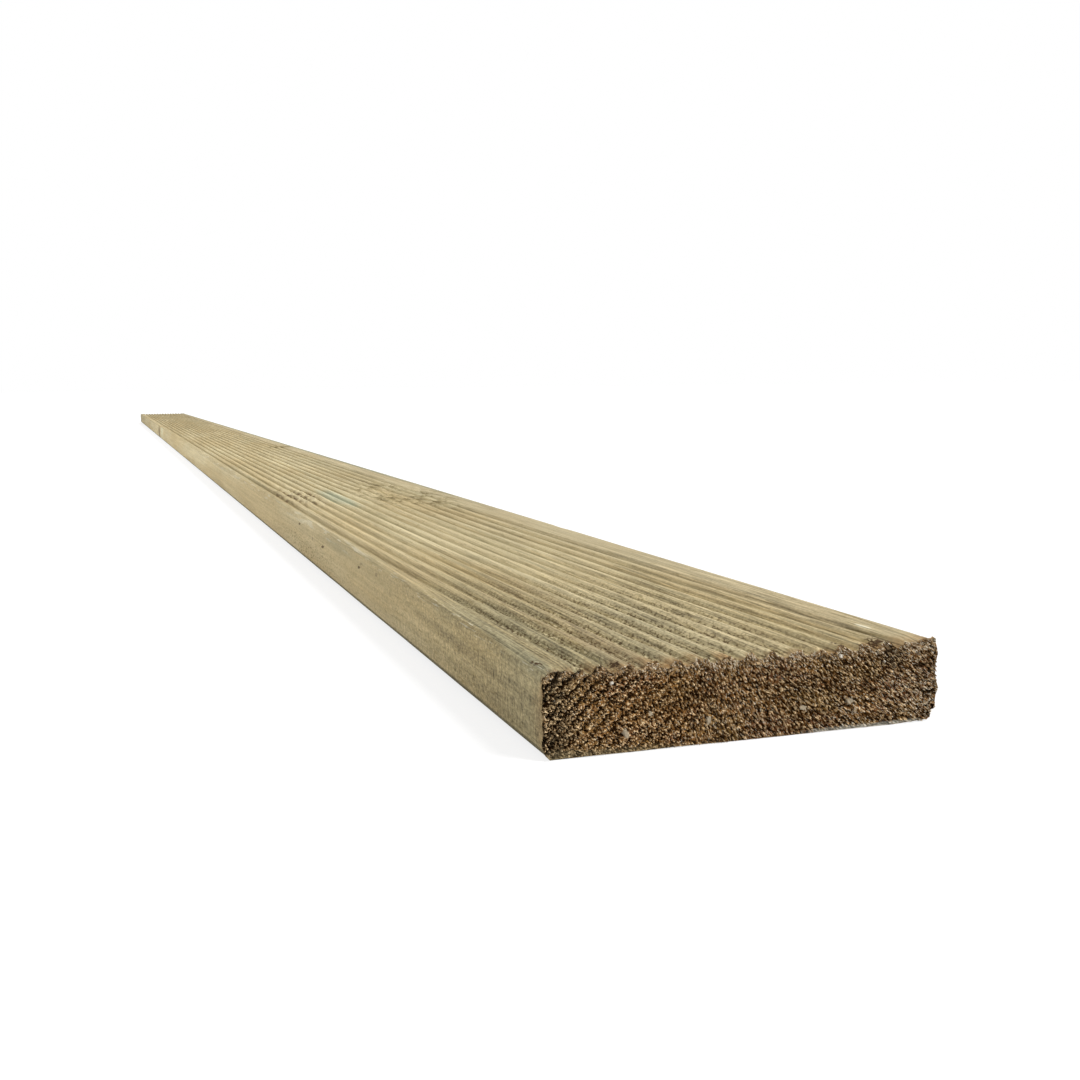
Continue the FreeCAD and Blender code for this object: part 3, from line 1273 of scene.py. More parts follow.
@dataclass(frozen=True)
class Section:
    """The board's cross-section in metres: X across, Z up from the underside."""

    width: float
    thickness: float
    top_arris: float = 0.003
    bottom_arris: float = 0.004
    plain_margin: float = 0.010
    groove_pitch: float = 0.0085
    groove_depth: float = 0.0022
    crest_land: float = 0.0008
    crest_radius: float = 0.0020
    underside_steps: int = 10
    side_steps: int = 9
    arris_steps: int = 4
    margin_steps: int = 7
    groove_steps: int = 12

    @property
    def groove_width(self) -> float:
        """Return the mouth of a groove."""
        return self.groove_pitch - self.crest_land

    @property
    def outer_groove(self) -> float:
        """Return the distance of the outermost grooves' middles from the board's middle."""
        room = self.width - 2 * self.plain_margin - self.groove_width
        return self.groove_pitch * int(room / self.groove_pitch) / 2

    @property
    def grooved_reach(self) -> float:
        """Return how far the grooves and half a crest reach from the board's middle."""
        return self.outer_groove + self.groove_pitch / 2

    @property
    def flat_reach(self) -> float:
        """Return how far the top face reaches from the board's middle, up to its rounded edges."""
        return self.width / 2 - self.top_arris

    @staticmethod
    def arc(centre: tuple[float, float], radius: float, start: float, steps: int) -> np.ndarray:
        """Return points along a quarter turn, without its end.

        Args:
            centre: The arc's centre.
            radius: Its radius.
            start: The angle in degrees at which it starts.
            steps: How many edges it has.

        Returns:
            One row of X and Z for each point.
        """
        turn = np.radians(np.linspace(start, start + QUARTER, steps, endpoint=False))
        return np.array(centre) + radius * np.stack([np.cos(turn), np.sin(turn)], axis=1)

    def face_places(self) -> np.ndarray:
        """Return where the points of the top face stand across the board, from right to left.

        Returns:
            The places along X.
        """
        reach = self.grooved_reach
        count = round(2 * reach / self.groove_pitch)
        grooved = np.linspace(reach, -reach, count * self.groove_steps + 1)
        margin = np.linspace(self.flat_reach, reach, self.margin_steps, endpoint=False)
        return np.concatenate([margin, grooved, -margin[:0:-1]])

    def outline(self) -> np.ndarray:
        """Return the outline before grooving, anticlockwise from the underside's left end.

        Returns:
            One row of X and Z for each point.
        """
        half, top = self.width / 2, self.thickness
        low, high = self.bottom_arris, self.top_arris
        face = self.face_places()
        up = np.linspace(low, top - high, self.side_steps, endpoint=False)
        down = np.linspace(top - high, low, self.side_steps, endpoint=False)
        underside = np.linspace(low - half, half - low, self.underside_steps, endpoint=False)
        return np.concatenate([
            np.stack([underside, np.zeros_like(underside)], axis=1),
            self.arc((half - low, low), low, -QUARTER, self.arris_steps),
            np.stack([np.full_like(up, half), up], axis=1),
            self.arc((half - high, top - high), high, 0, self.arris_steps),
            np.stack([face, np.full_like(face, top)], axis=1),
            self.arc((high - half, top - high), high, QUARTER, self.arris_steps),
            np.stack([np.full_like(down, -half), down], axis=1),
            self.arc((low - half, low), low, 2 * QUARTER, self.arris_steps),
        ])

    def groove_cut(self, recipe: Recipe, x: Link) -> Link:
        """Return how deep the grooves are at a place across the board.

        Args:
            recipe: The tree that is being built, with the grooves' sizes as inputs.
            x: The place.

        Returns:
            The depth of the cut, 0 on the crests and margins.
        """
        pitch, depth = recipe.given("Groove Pitch"), recipe.given("Groove Depth")
        crest = recipe.given("Crest Radius")
        outer = recipe.given("Outer Groove")
        half = (pitch - recipe.given("Crest Land")) * 0.5
        floor = (half * half + depth * depth) / (depth * 2.0) - crest
        lean = depth.math("ARCTAN2", depth, half) * 2.0
        aside = abs(((x + outer) / pitch + 0.5).fraction() - 0.5) * pitch
        beside = (half - aside).most(0.0)
        bed = depth - floor + (floor * floor - aside * aside).root()
        brow = crest - (crest * crest - beside * beside).root()
        in_bed = aside < floor * lean.math("SINE", lean)
        cut = in_bed * bed + (1.0 - in_bed) * brow
        return cut * (abs(x) < outer + half)

    def groove_lee(self, recipe: Recipe, x: Link) -> Link:
        """Return a place's share of the way up the groove's wall that faces left.

        Args:
            recipe: The tree that is being built, with the grooves' sizes as inputs.
            x: The place across the board.

        Returns:
            1 on the crest at the right of a groove, 0 on its floor, negative on its other wall.
        """
        pitch, outer = recipe.given("Groove Pitch"), recipe.given("Outer Groove")
        place = ((x + outer) / pitch + 0.5).fraction() * 2.0 - 1.0
        return place * (abs(x) < outer + pitch * 0.5)


@dataclass(frozen=True)
class BakeSheet:
    """The board's map for baking: both ends at a large scale, and the long faces in two strips."""

    border: float = 0.005
    near_end: tuple[float, float] = (0.005, 0.155)
    far_end: tuple[float, float] = (0.160, 0.240)
    first_half: tuple[float, float] = (0.245, 0.620)
    second_half: tuple[float, float] = (0.625, 0.995)
    top_band: float = 0.85
    bottom_band: float = 0.07
    side_share: float = 0.75
    underside_share: float = 0.30

    def spread(self, share: np.ndarray) -> np.ndarray:
        """Return places between the map's borders, for shares from 0 to 1."""
        return self.border + (1.0 - 2 * self.border) * share

    def end(self, corners: np.ndarray, section: Section, band: tuple[float, float]) -> np.ndarray:
        """Return the map's places for the corners of an end.

        Args:
            corners: X and Z of each corner, in the last axis.
            section: The board's cross-section.
            band: The part of the map's height that the end takes.

        Returns:
            One row for each corner.
        """
        across = self.spread(corners[..., 0] / section.width + 0.5)
        up = band[0] + (band[1] - band[0]) * corners[..., 1] / section.thickness
        return np.stack([across, up], axis=-1).reshape(-1, 2)

    def walls(self, outline: np.ndarray, places: np.ndarray) -> np.ndarray:
        """Return the map's places for the corners of the long faces, four to a face.

        Args:
            outline: The section's outline.
            places: Where the rings of vertices stand along the board.

        Returns:
            One row for each corner.
        """
        after = np.roll(outline, -1, axis=0)
        height = (outline[:, 1] + after[:, 1]) / 2 / outline[:, 1].max()
        weight = np.where(height > self.bottom_band, self.side_share, self.underside_share)
        weight = np.where(height > self.top_band, 1.0, weight)
        width = np.linalg.norm(after - outline, axis=1) * weight
        around = np.concatenate([[0.0], np.cumsum(width)]) / width.sum()
        count = len(places)
        along = np.linspace(0.0, 0.5, count) + (places - places[0]) / (places[-1] - places[0]) / 2
        half = int(np.searchsorted(along, 0.5))
        corners = np.empty((count - 1, len(outline), 4, 2))
        for rings, band in ((slice(0, half), self.first_half), (slice(half, None), self.second_half)):
            start, end = along[:-1][rings], along[1:][rings]
            origin, span = start[0], end[-1] - start[0]
            strip = corners[rings]
            strip[:, :, :2, 0] = self.spread((start - origin) / span)[:, None, None]
            strip[:, :, 2:, 0] = self.spread((end - origin) / span)[:, None, None]
            up = band[0] + (band[1] - band[0]) * around
            strip[:, :, [0, 3], 1] = up[:-1, None]
            strip[:, :, [1, 2], 1] = up[1:, None]
        return corners.reshape(-1, 2)


@dataclass
class Board:
    """The board itself: the grooved section along its length, closed by rough sawn ends."""

    section: Section
    length: float
    rings: GrowthRings
    grain: EndGrain
    sheet: BakeSheet = BakeSheet()
    near_spacing: float = 0.0005
    far_spacing: float = 0.0012
    knot_spacing: float = 0.0075
    middle_spacing: float = 0.050
    spread: float = 0.10
    near_grain: float = 0.00031
    far_grain: float = 0.00075
    carved_layer: float = 0.008
    knot_reach: float = 1.6
    finest: int = 20001
    scatter: float = 0.4
    margin: float = 0.5
    weld: float = 1e-9
    facing_reach: float = 0.002
    sharpest: float = 55.0
    groove_swing: float = 0.0075
    swing_bend: float = 0.52
    swing_return: float = 0.90
    lowest: float = -0.0002
    notch: Mark = Mark(0.068, -1.730, 0.003, 0.0035)
    notch_depth: float = 1.2
    corner: Mark = Mark(0.070, 0.0, 0.0036, 0.0036)
    corner_length: float = 0.010
    corner_loss: Span = (2.0, 1.5)
    seed: int = 11

    # Grooves that are shallower in the swirl
    shallow: Span = (0.10, 0.60)
    shallow_share: float = 0.45

    # Roughness of the ends, with heights as shares of it
    end_roughness: float = 0.0012
    stroke_window: Span = (0.40, 0.64)
    stroke_level: float = 0.4
    stroke_height: float = 0.8
    lumps: Grain = Grain((0.0040, 0.020, 0.0040), seed=22.0, strength=0.9)
    pit_depth: float = 0.7
    late_level: float = 0.3
    late_height: float = 0.2
    flake_height: float = 0.3

    # Wear of the long faces
    planing: Grain = Grain((0.012, 0.080, 0.012), seed=24.0, strength=0.0003)
    chip_depth: float = 0.0009
    chipped_face: Span = (0.064, 0.056)
    sway: Grain = Grain((0.030, 0.050, 0.030), seed=28.0, strength=0.008)
    swayed_face: Span = (0.066, 0.058)

    # Frayed edges and broken crests at the ends, with gains and losses as shares of the fray
    fray: float = 0.0008
    fraying: Grain = Grain((0.0024, 0.0040, 0.0024), seed=26.0)
    fray_level: float = 0.45
    fray_length: float = 0.0015
    frayed_edge: Span = (0.050, 0.066)
    frayed_gain: float = 2.0
    rags: Grain = Grain((0.0012, 0.0030, 0.0012), seed=29.0, strength=5.0)
    ragged_edge: Span = (0.060, 0.069)
    crests: Grain = Grain((0.0030, 0.0060, 0.0500), seed=27.0, window=(0.42, 0.62), strength=1.5)
    crest_length: float = 0.0030
    crest_layer: float = 0.004

    def ring_places(self) -> np.ndarray:
        """Return where the rings of vertices stand along the board, closest at the ends and knots.

        Returns:
            The places along Y.
        """
        half = self.length / 2
        fine = np.linspace(-half, half, self.finest)
        spacing = np.minimum(self.near_spacing + self.spread * (fine + half), self.middle_spacing)
        spacing = np.minimum(spacing, self.far_spacing + self.spread * (half - fine))
        for knot in (self.rings.cluster, self.rings.swirl):
            beyond = np.maximum(np.abs(fine - knot.along) - self.knot_reach * knot.reach_along, 0.0)
            spacing = np.minimum(spacing, self.knot_spacing + self.spread * beyond)
        steps = np.diff(fine) / (spacing[1:] + spacing[:-1]) * 2
        count = np.concatenate([[0.0], np.cumsum(steps)])
        return np.interp(np.linspace(0.0, count[-1], round(count[-1]) + 1), count, fine)

    def cap_points(self, outline: np.ndarray, grain: float) -> np.ndarray:
        """Return points scattered evenly inside the outline.

        Args:
            outline: The section's outline.
            grain: The distance between points.

        Returns:
            One row of X and Z for each point.
        """
        rng = np.random.default_rng(self.seed)
        half, top = self.section.width / 2, self.section.thickness
        grid = np.stack(np.meshgrid(np.arange(-half, half, grain), np.arange(0.0, top, grain)), axis=-1)
        grid = grid.reshape(-1, 2)
        grid = grid + rng.uniform(-self.scatter, self.scatter, grid.shape) * grain
        upper = outline[outline[:, 1] > top / 2]
        lower = outline[outline[:, 1] <= top / 2]
        upper = upper[np.argsort(upper[:, 0])]
        lower = lower[np.argsort(lower[:, 0])]
        room = self.margin * grain
        inside = np.abs(grid[:, 0]) < half - room
        inside &= grid[:, 1] < np.interp(grid[:, 0], *upper.T) - room
        inside &= grid[:, 1] > np.interp(grid[:, 0], *lower.T) + room
        return grid[inside]

    def cap(self, outline: np.ndarray, grain: float) -> tuple[np.ndarray, np.ndarray]:
        """Fill the outline with small triangles.

        Args:
            outline: The section's outline.
            grain: The size of a triangle.

        Returns:
            The points inside the outline, and triangles that number the outline's points first.
        """
        inner = self.cap_points(outline, grain)
        count = len(outline)
        edges = [(i, (i + 1) % count) for i in range(count)]
        points = [Vector(p) for p in np.concatenate([outline, inner])]
        _, _, faces, origin, _, _ = delaunay_2d_cdt(points, edges, [], 1, self.weld)
        source = np.array([numbers[0] for numbers in origin])
        return inner, source[np.array(faces)]

    def facing(self, outline: np.ndarray, inner: np.ndarray) -> tuple[np.ndarray, np.ndarray]:
        """Return the way that the outline faces, and the same for points inside, fading inwards.

        Args:
            outline: The section's outline.
            inner: Points inside it.

        Returns:
            A row of X, Y and Z for each point of the outline, and for each point inside.
        """
        edge = np.roll(outline, -1, axis=0) - np.roll(outline, 1, axis=0)
        normal = np.stack([edge[:, 1], np.zeros(len(edge)), -edge[:, 0]], axis=1)
        normal /= np.linalg.norm(normal, axis=1)[:, None]
        tree = KDTree(len(outline))
        for number, (x, z) in enumerate(outline):
            tree.insert((x, 0.0, z), number)
        tree.balance()
        found = [tree.find((x, 0.0, z)) for x, z in inner]
        nearest = np.array([number for _, number, _ in found])
        distance = np.array([gap for _, _, gap in found])
        return normal, normal[nearest] * np.exp(-distance / self.facing_reach)[:, None]

    def blank(self) -> bpy.types.Object:
        """Return the ungrooved board as a closed mesh, with its map and what the shaping needs.

        Returns:
            The board's object.
        """
        outline = self.section.outline()
        places = self.ring_places()
        around, along = len(outline), len(places)
        ring = np.arange(around)
        start = (np.arange(along - 1) * around)[:, None]
        after = np.roll(ring, -1)
        quads = np.stack([start + ring, start + after, start + around + after, start + around + ring], -1)
        faces = quads.reshape(-1, 4).tolist()
        walls = len(faces)
        points = [np.stack([
            np.tile(outline[:, 0], along), np.repeat(places, around), np.tile(outline[:, 1], along)
        ], axis=1)]
        outward, sawn = [], [np.zeros(along * around)]
        sawn[0][:around] = sawn[0][-around:] = 0.5
        spots = [self.sheet.walls(outline, places)]
        total = along * around
        for end, grain, band in (
            (End.NEAR, self.near_grain, self.sheet.near_end),
            (End.FAR, self.far_grain, self.sheet.far_end),
        ):
            inner, triangles = self.cap(outline, grain)
            triangles = triangles[:, ::-end.value]
            normal, inward = self.facing(outline, inner)
            outward += [np.tile(normal, (along, 1)), inward] if end is End.NEAR else [inward]
            first = 0 if end is End.NEAR else (along - 1) * around
            faces += np.concatenate([first + ring, total + np.arange(len(inner))])[triangles].tolist()
            spots.append(self.sheet.end(np.concatenate([outline, inner])[triangles], self.section, band))
            cap_y = np.full(len(inner), end.value * self.length / 2)
            points.append(np.stack([inner[:, 0], cap_y, inner[:, 1]], axis=1))
            sawn.append(np.ones(len(inner)))
            total += len(inner)

        mesh = bpy.data.meshes.new("board")
        mesh.from_pydata(np.concatenate(points).tolist(), [], faces)
        way = mesh.attributes.new("outward", "FLOAT_VECTOR", "POINT")
        way.data.foreach_set("vector", np.concatenate(outward).astype(np.float32).ravel())
        share = mesh.attributes.new("sawn", "FLOAT", "POINT")
        share.data.foreach_set("value", np.concatenate(sawn).astype(np.float32))
        ends = mesh.attributes.new("end_face", "BOOLEAN", "FACE")
        ends.data.foreach_set("value", np.arange(len(faces)) >= walls)
        sheet = mesh.uv_layers.new(name=BAKE_MAP)
        sheet.uv.foreach_set("vector", np.concatenate(spots).astype(np.float32).ravel())
        mesh.shade_smooth()
        board = bpy.data.objects.new("board", mesh)
        bpy.context.scene.collection.objects.link(board)
        return board

    def shaping(self, planed: bpy.types.Material, sawn: bpy.types.Material) -> Recipe:
        """Return the tree that cuts the grooves, roughens the ends and wears the faces.

        Args:
            planed: The finish of the long faces.
            sawn: The finish of the ends.

        Returns:
            The tree.
        """
        section = self.section
        recipe = Recipe(
            "grooves_and_wear",
            {
                "Groove Pitch": section.groove_pitch,
                "Groove Depth": section.groove_depth,
                "Groove Swing": self.groove_swing,
                "Crest Land": section.crest_land,
                "Crest Radius": section.crest_radius,
                "Outer Groove": section.outer_groove,
                "End Roughness": self.end_roughness,
                "Fray": self.fray,
                "Chips": self.chip_depth,
                "Planed": planed,
                "Sawn": sawn,
            },
        )
        bench = recipe.bench
        place = bench.add("GeometryNodeInputPosition")
        x, y, z = bench.axes(place)
        layer = z.share(section.thickness - self.carved_layer, section.thickness)
        kept = 1.0 - self.rings.swirl.presence(x, y).step(self.shallow) * self.shallow_share
        depth = section.groove_cut(recipe, x) * layer * kept
        marked = bench.stored(recipe.given("Geometry"), GROOVE, depth / recipe.given("Groove Depth"))
        marked = bench.stored(marked, LEE, section.groove_lee(recipe, x) * layer)
        grooved = bench.moved(marked, bench.vector(self.swing(recipe, x, y), 0.0, -depth))
        worn = bench.moved(grooved, self.wear(recipe, place))
        whole = bench.add(
            "GeometryNodeRealizeInstances", None, {"Geometry": bench.lifted(worn, self.lowest)}
        )
        dressed = bench.dressed(whole, recipe.given("Planed"))
        ends = recipe.attribute("end_face", "BOOLEAN")
        recipe.close(bench.dressed(dressed, recipe.given("Sawn"), ends))
        return recipe

    def swing(self, recipe: Recipe, x: Link, y: Link) -> Link:
        """Return how far the row of grooves stands aside of its line, between two fixed edges.

        The row starts in line at the near end, bends to the left and comes back to the far end.

        Args:
            recipe: The tree that is being built.
            x: The place across the board.
            y: The place along it.

        Returns:
            The move along X.
        """
        distance = y + self.length / 2
        before = (1.0 - distance * (1.0 / self.swing_bend)).most(0.0)
        back = ((self.length - distance) * (1.0 / (self.length - self.swing_return))).least(1.0)
        loose = 1.0 - abs(x).share(self.section.grooved_reach, self.section.flat_reach)
        return (before * before - 1.0) * back * loose * recipe.given("Groove Swing")

    def wear(self, recipe: Recipe, place: Link) -> Link:
        """Return how far each point of the grooved board moves for torn ends, frayed edges and chips.

        Args:
            recipe: The tree that is being built.
            place: The points' places.

        Returns:
            The move as a vector.
        """
        bench = recipe.bench
        x, y, z = bench.axes(place)
        sawn, fray = recipe.attribute("sawn"), recipe.given("Fray")
        from_end = self.length / 2 - abs(y)

        strokes = self.grain.strokes(bench, place).step(self.stroke_window) - self.stroke_level
        lumps = self.lumps.swing(bench, place)
        pits = self.grain.pores(bench, place) + self.grain.blotches(bench, place)
        late = self.rings.late_wood(bench, place) - self.late_level
        flakes = self.grain.flakes(bench, place)
        rough = strokes * self.stroke_height + lumps * self.lumps.strength
        rough = rough - pits * self.pit_depth + late * self.late_height
        rough = rough * (1.0 - flakes) + flakes * self.flake_height
        rough = rough * recipe.given("End Roughness")

        planing = self.planing.swing(bench, place) * self.planing.strength
        torn = self.rings.dashes(bench, place) + self.rings.scales(bench, place)
        wall = planing - torn * abs(x).step(self.chipped_face) * recipe.given("Chips")
        normal = bench.add("GeometryNodeInputNormal")
        proud = bench.scaled(normal, sawn * rough + (1.0 - sawn) * wall)

        edge = self.fraying.noise(bench, place) - self.fray_level
        ragged = self.rags.swing(bench, place)
        loose = edge * (1.0 + x.step(self.frayed_edge) * self.frayed_gain)
        loose = loose + ragged * x.step(self.ragged_edge) * self.rags.strength
        loose = loose * from_end.decay(self.fray_length) * fray
        frayed = bench.scaled(recipe.attribute("outward", "FLOAT_VECTOR"), loose)
        gone = self.corner.presence(x, z) * (y + self.length / 2).decay(self.corner_length) * fray
        broken = self.crests.patches(bench, place) * from_end.decay(self.crest_length)
        broken = broken * self.crests.strength + self.notch.presence(x, y) * self.notch_depth
        top = self.section.thickness
        lost = broken * z.step((top - self.crest_layer, top)) * fray
        swayed = self.sway.swing(bench, place) * self.rings.swirl.presence(x, y)
        swayed = swayed * abs(x).step(self.swayed_face) * self.sway.strength
        inward, upward = self.corner_loss
        return bench.total(
            proud, frayed, bench.vector(swayed - gone * inward, 0.0, gone * upward - lost)
        )

    def build(self, planed: bpy.types.Material, sawn: bpy.types.Material) -> bpy.types.Object:
        """Make the board.

        Args:
            planed: The finish of the long faces.
            sawn: The finish of the ends.

        Returns:
            The board's object.
        """
        board = self.blank()
        self.shaping(planed, sawn).run(board)
        board.data.set_sharp_from_angle(angle=math.radians(self.sharpest))
        return board


@dataclass
class EndFibres:
    """Torn fibres that stand out of a sawn end, thickest along its edges."""

    grain: EndGrain
    end: End
    density: float
    seed: int
    longest: float = 0.0009
    thickest: float = 0.00026
    least_share: float = 0.35
    root: float = -0.4
    tip: float = 0.6
    taper: float = 0.6
    girth_sides: int = 3
    lowest: float = -0.0002

    # Where the fibres crowd
    crowd: float = 0.5
    edge_crowd: float = 0.6
    right_strip: Span = (0.050, 0.066)
    right_crowd: float = 0.6
    pore_gap: float = 0.9
    scorch_gap: float = 0.7

    # Their tone, from 0 to 1
    contrast_right: Span = (-0.010, 0.040)
    contrast_gain: float = 0.4
    top_strip: Span = (0.0225, 0.0265)
    top_tone: float = 0.25
    late_tone: float = -0.24
    dull_tone: float = -0.20
    net_tone: float = -0.06
    tone_gain: float = 0.10
    palest: Span = (0.90, 0.98)

    # The way that they lie
    stray: Place = (0.4, 0.1, 0.4)
    net_stray: float = 3.0
    lift: float = 0.25
    net_shortening: float = 0.4

    # Their map for baking: where a tone, a side and a length start, and how far they go
    tone_start: float = 0.01
    tone_span: float = 0.95
    side_span: float = 0.03
    length_start: float = 0.05
    length_span: float = 0.90

    def sawn_face(self, board: bpy.types.Object) -> bpy.types.Object:
        """Return a copy of the board's triangles at this end, for the fibres to stand on.

        Args:
            board: The finished board.

        Returns:
            The copy's object.
        """
        mesh = board.data
        points = read(mesh.vertices, "co", width=3)
        outward = read(mesh.attributes["outward"].data, "vector", width=3)
        marked = read(mesh.attributes["end_face"].data, "value", bool)
        starts = read(mesh.polygons, "loop_start", np.int32)
        corners = read(mesh.loops, "vertex_index", np.int32)
        triangles = corners[starts[marked][:, None] + np.arange(3)]
        triangles = triangles[points[triangles[:, 0], 1] * self.end.value > 0]
        used, numbers = np.unique(triangles, return_inverse=True)
        face = bpy.data.meshes.new("sawn_face")
        face.from_pydata(points[used].tolist(), [], numbers.reshape(-1, 3).tolist())
        near_edge = np.linalg.norm(outward[used], axis=1).astype(np.float32)
        face.attributes.new("edge", "FLOAT", "POINT").data.foreach_set("value", near_edge)
        piece = bpy.data.objects.new(f"{self.end.name.lower()}_end_fibres", face)
        bpy.context.scene.collection.objects.link(piece)
        return piece

    def sliver(self, bench: Bench) -> Link:
        """Return one blunt fibre, a metre long and a metre thick, to be scaled down.

        Args:
            bench: The tree that is being built.

        Returns:
            The fibre's mesh.
        """
        ends = {"Start": (0.0, 0.0, self.root), "End": (0.0, 0.0, self.tip)}
        spine = bench.add("GeometryNodeCurvePrimitiveLine", None, ends)
        along = bench.add("GeometryNodeSplineParameter")
        spine = bench.stored(spine, "along", along)
        ring = {"Resolution": self.girth_sides, "Radius": 0.5}
        girth = bench.add("GeometryNodeCurvePrimitiveCircle", None, ring)
        girth = bench.stored(girth, "round", bench.add("GeometryNodeSplineParameter"))
        taper = 1.0 - along * along * self.taper
        return bench.add(
            "GeometryNodeCurveToMesh",
            None,
            {"Curve": spine, "Profile Curve": girth, "Scale": taper, "Fill Caps": True},
        )

    def crowding(self, recipe: Recipe, place: Link) -> Link:
        """Return how closely the fibres stand: most at the edges, and least in pores and on bare spots.

        Args:
            recipe: The tree that is being built.
            place: Coordinates in metres.

        Returns:
            The share of the full density.
        """
        bench, grain = recipe.bench, self.grain
        x, _, _ = bench.axes(place)
        crowd = self.crowd + recipe.attribute("edge") * self.edge_crowd
        crowd = crowd + x.step(self.right_strip) * self.right_crowd
        crowd = crowd * (1.0 - grain.pores(bench, place) * self.pore_gap)
        for bare in (grain.rim, grain.blotches, grain.flakes):
            crowd = crowd * (1.0 - bare(bench, place))
        return crowd * (1.0 - grain.scorched(bench, place) * self.scorch_gap)

    def toned(self, bench: Bench, place: Link, chance: Link) -> Link:
        """Return the fibres' tone: pale at the top, darker on late wood and dull patches.

        Args:
            bench: The tree that is being built.
            place: Coordinates in metres.
            chance: A random value for each fibre, from 0 to 1.

        Returns:
            The tone, from 0 to 1.
        """
        x, _, z = bench.axes(place)
        upper = z.step(self.top_strip)
        late = self.grain.rings.late_wood(bench, place) * (1.0 - upper)
        tone = chance + (chance - 0.5) * x.step(self.contrast_right) * self.contrast_gain
        tone = tone + upper * self.top_tone + late * self.late_tone
        dull = self.grain.dull(bench, place) * self.dull_tone + self.grain.netted(x) * self.net_tone
        return (tone + dull + self.tone_gain).most(0.0).least(1.0)

    def scatter(self, finish: bpy.types.Material) -> Recipe:
        """Return the tree that lays fibres on a sawn end, mostly along its strokes.

        Args:
            finish: The fibres' material.

        Returns:
            The tree.
        """
        recipe = Recipe(
            "end_fibres",
            {
                "Density": self.density,
                "Seed": self.seed,
                "Longest": self.longest,
                "Thickest": self.thickest,
                "Facing": (0.0, float(self.end.value), 0.0),
                "Finish": finish,
            },
        )
        bench = recipe.bench
        seed, facing = recipe.given("Seed"), recipe.given("Facing")
        place = bench.add("GeometryNodeInputPosition")
        x, _, _ = bench.axes(place)
        density = recipe.given("Density") * self.crowding(recipe, place)
        points = bench.add(
            "GeometryNodeDistributePointsOnFaces",
            None,
            {"Mesh": recipe.given("Geometry"), "Density": density, "Seed": seed},
        )
        tone = self.toned(bench, place, bench.random(seed + 1.0))
        points = bench.stored(points, TONE, tone)
        stray = bench.add(
            "FunctionNodeRandomValue",
            {"data_type": "FLOAT_VECTOR"},
            {"Min": tuple(-reach for reach in self.stray), "Max": self.stray, "Seed": seed + 2.0},
        )
        net = self.grain.netted(x)
        stray = bench.scaled(stray, 1.0 + net * self.net_stray)
        lean = bench.total(self.grain.way(bench, place), stray, bench.scaled(facing, self.lift))
        turn = bench.add(
            "FunctionNodeAxesToRotation", None, {"Primary Axis": lean, "Secondary Axis": facing}
        )
        length = bench.random(seed + 3.0, self.least_share) * recipe.given("Longest")
        length = length * (1.0 - net * self.net_shortening)
        thick = bench.random(seed + 4.0, self.least_share) * recipe.given("Thickest")
        thick = thick * (1.0 + tone.step(self.palest))
        size = bench.vector(thick, thick, length)
        fibres = bench.add(
            "GeometryNodeInstanceOnPoints",
            None,
            {"Points": points, "Instance": self.sliver(bench), "Rotation": turn, "Scale": size},
        )
        whole = bench.add("GeometryNodeRealizeInstances", None, {"Geometry": fibres})
        recipe.close(bench.dressed(bench.lifted(whole, self.lowest), recipe.given("Finish")))
        return recipe

    def build(self, board: bpy.types.Object, finish: bpy.types.Material) -> bpy.types.Object:
        """Make the fibres of this end.

        Args:
            board: The finished board.
            finish: The fibres' material.

        Returns:
            The fibres' object.
        """
        piece = self.sawn_face(board)
        self.scatter(finish).run(piece)
        self.lay_out(piece.data)
        return piece

    def lay_out(self, mesh: bpy.types.Mesh) -> None:
        """Give the fibres a map for baking, on which fibres of one tone share their place.

        Args:
            mesh: The fibres' mesh.
        """
        tone, along, side = (
            read(mesh.attributes[name].data, "value", np.float32) for name in (TONE, "along", "round")
        )
        corners = read(mesh.loops, "vertex_index", np.int32)
        u = self.tone_start + self.tone_span * tone + self.side_span * side
        v = self.length_start + self.length_span * along
        places = np.stack([u, v], axis=1)[corners].astype(np.float32)
        mesh.uv_layers.new(name=BAKE_MAP).uv.foreach_set("vector", places.ravel())


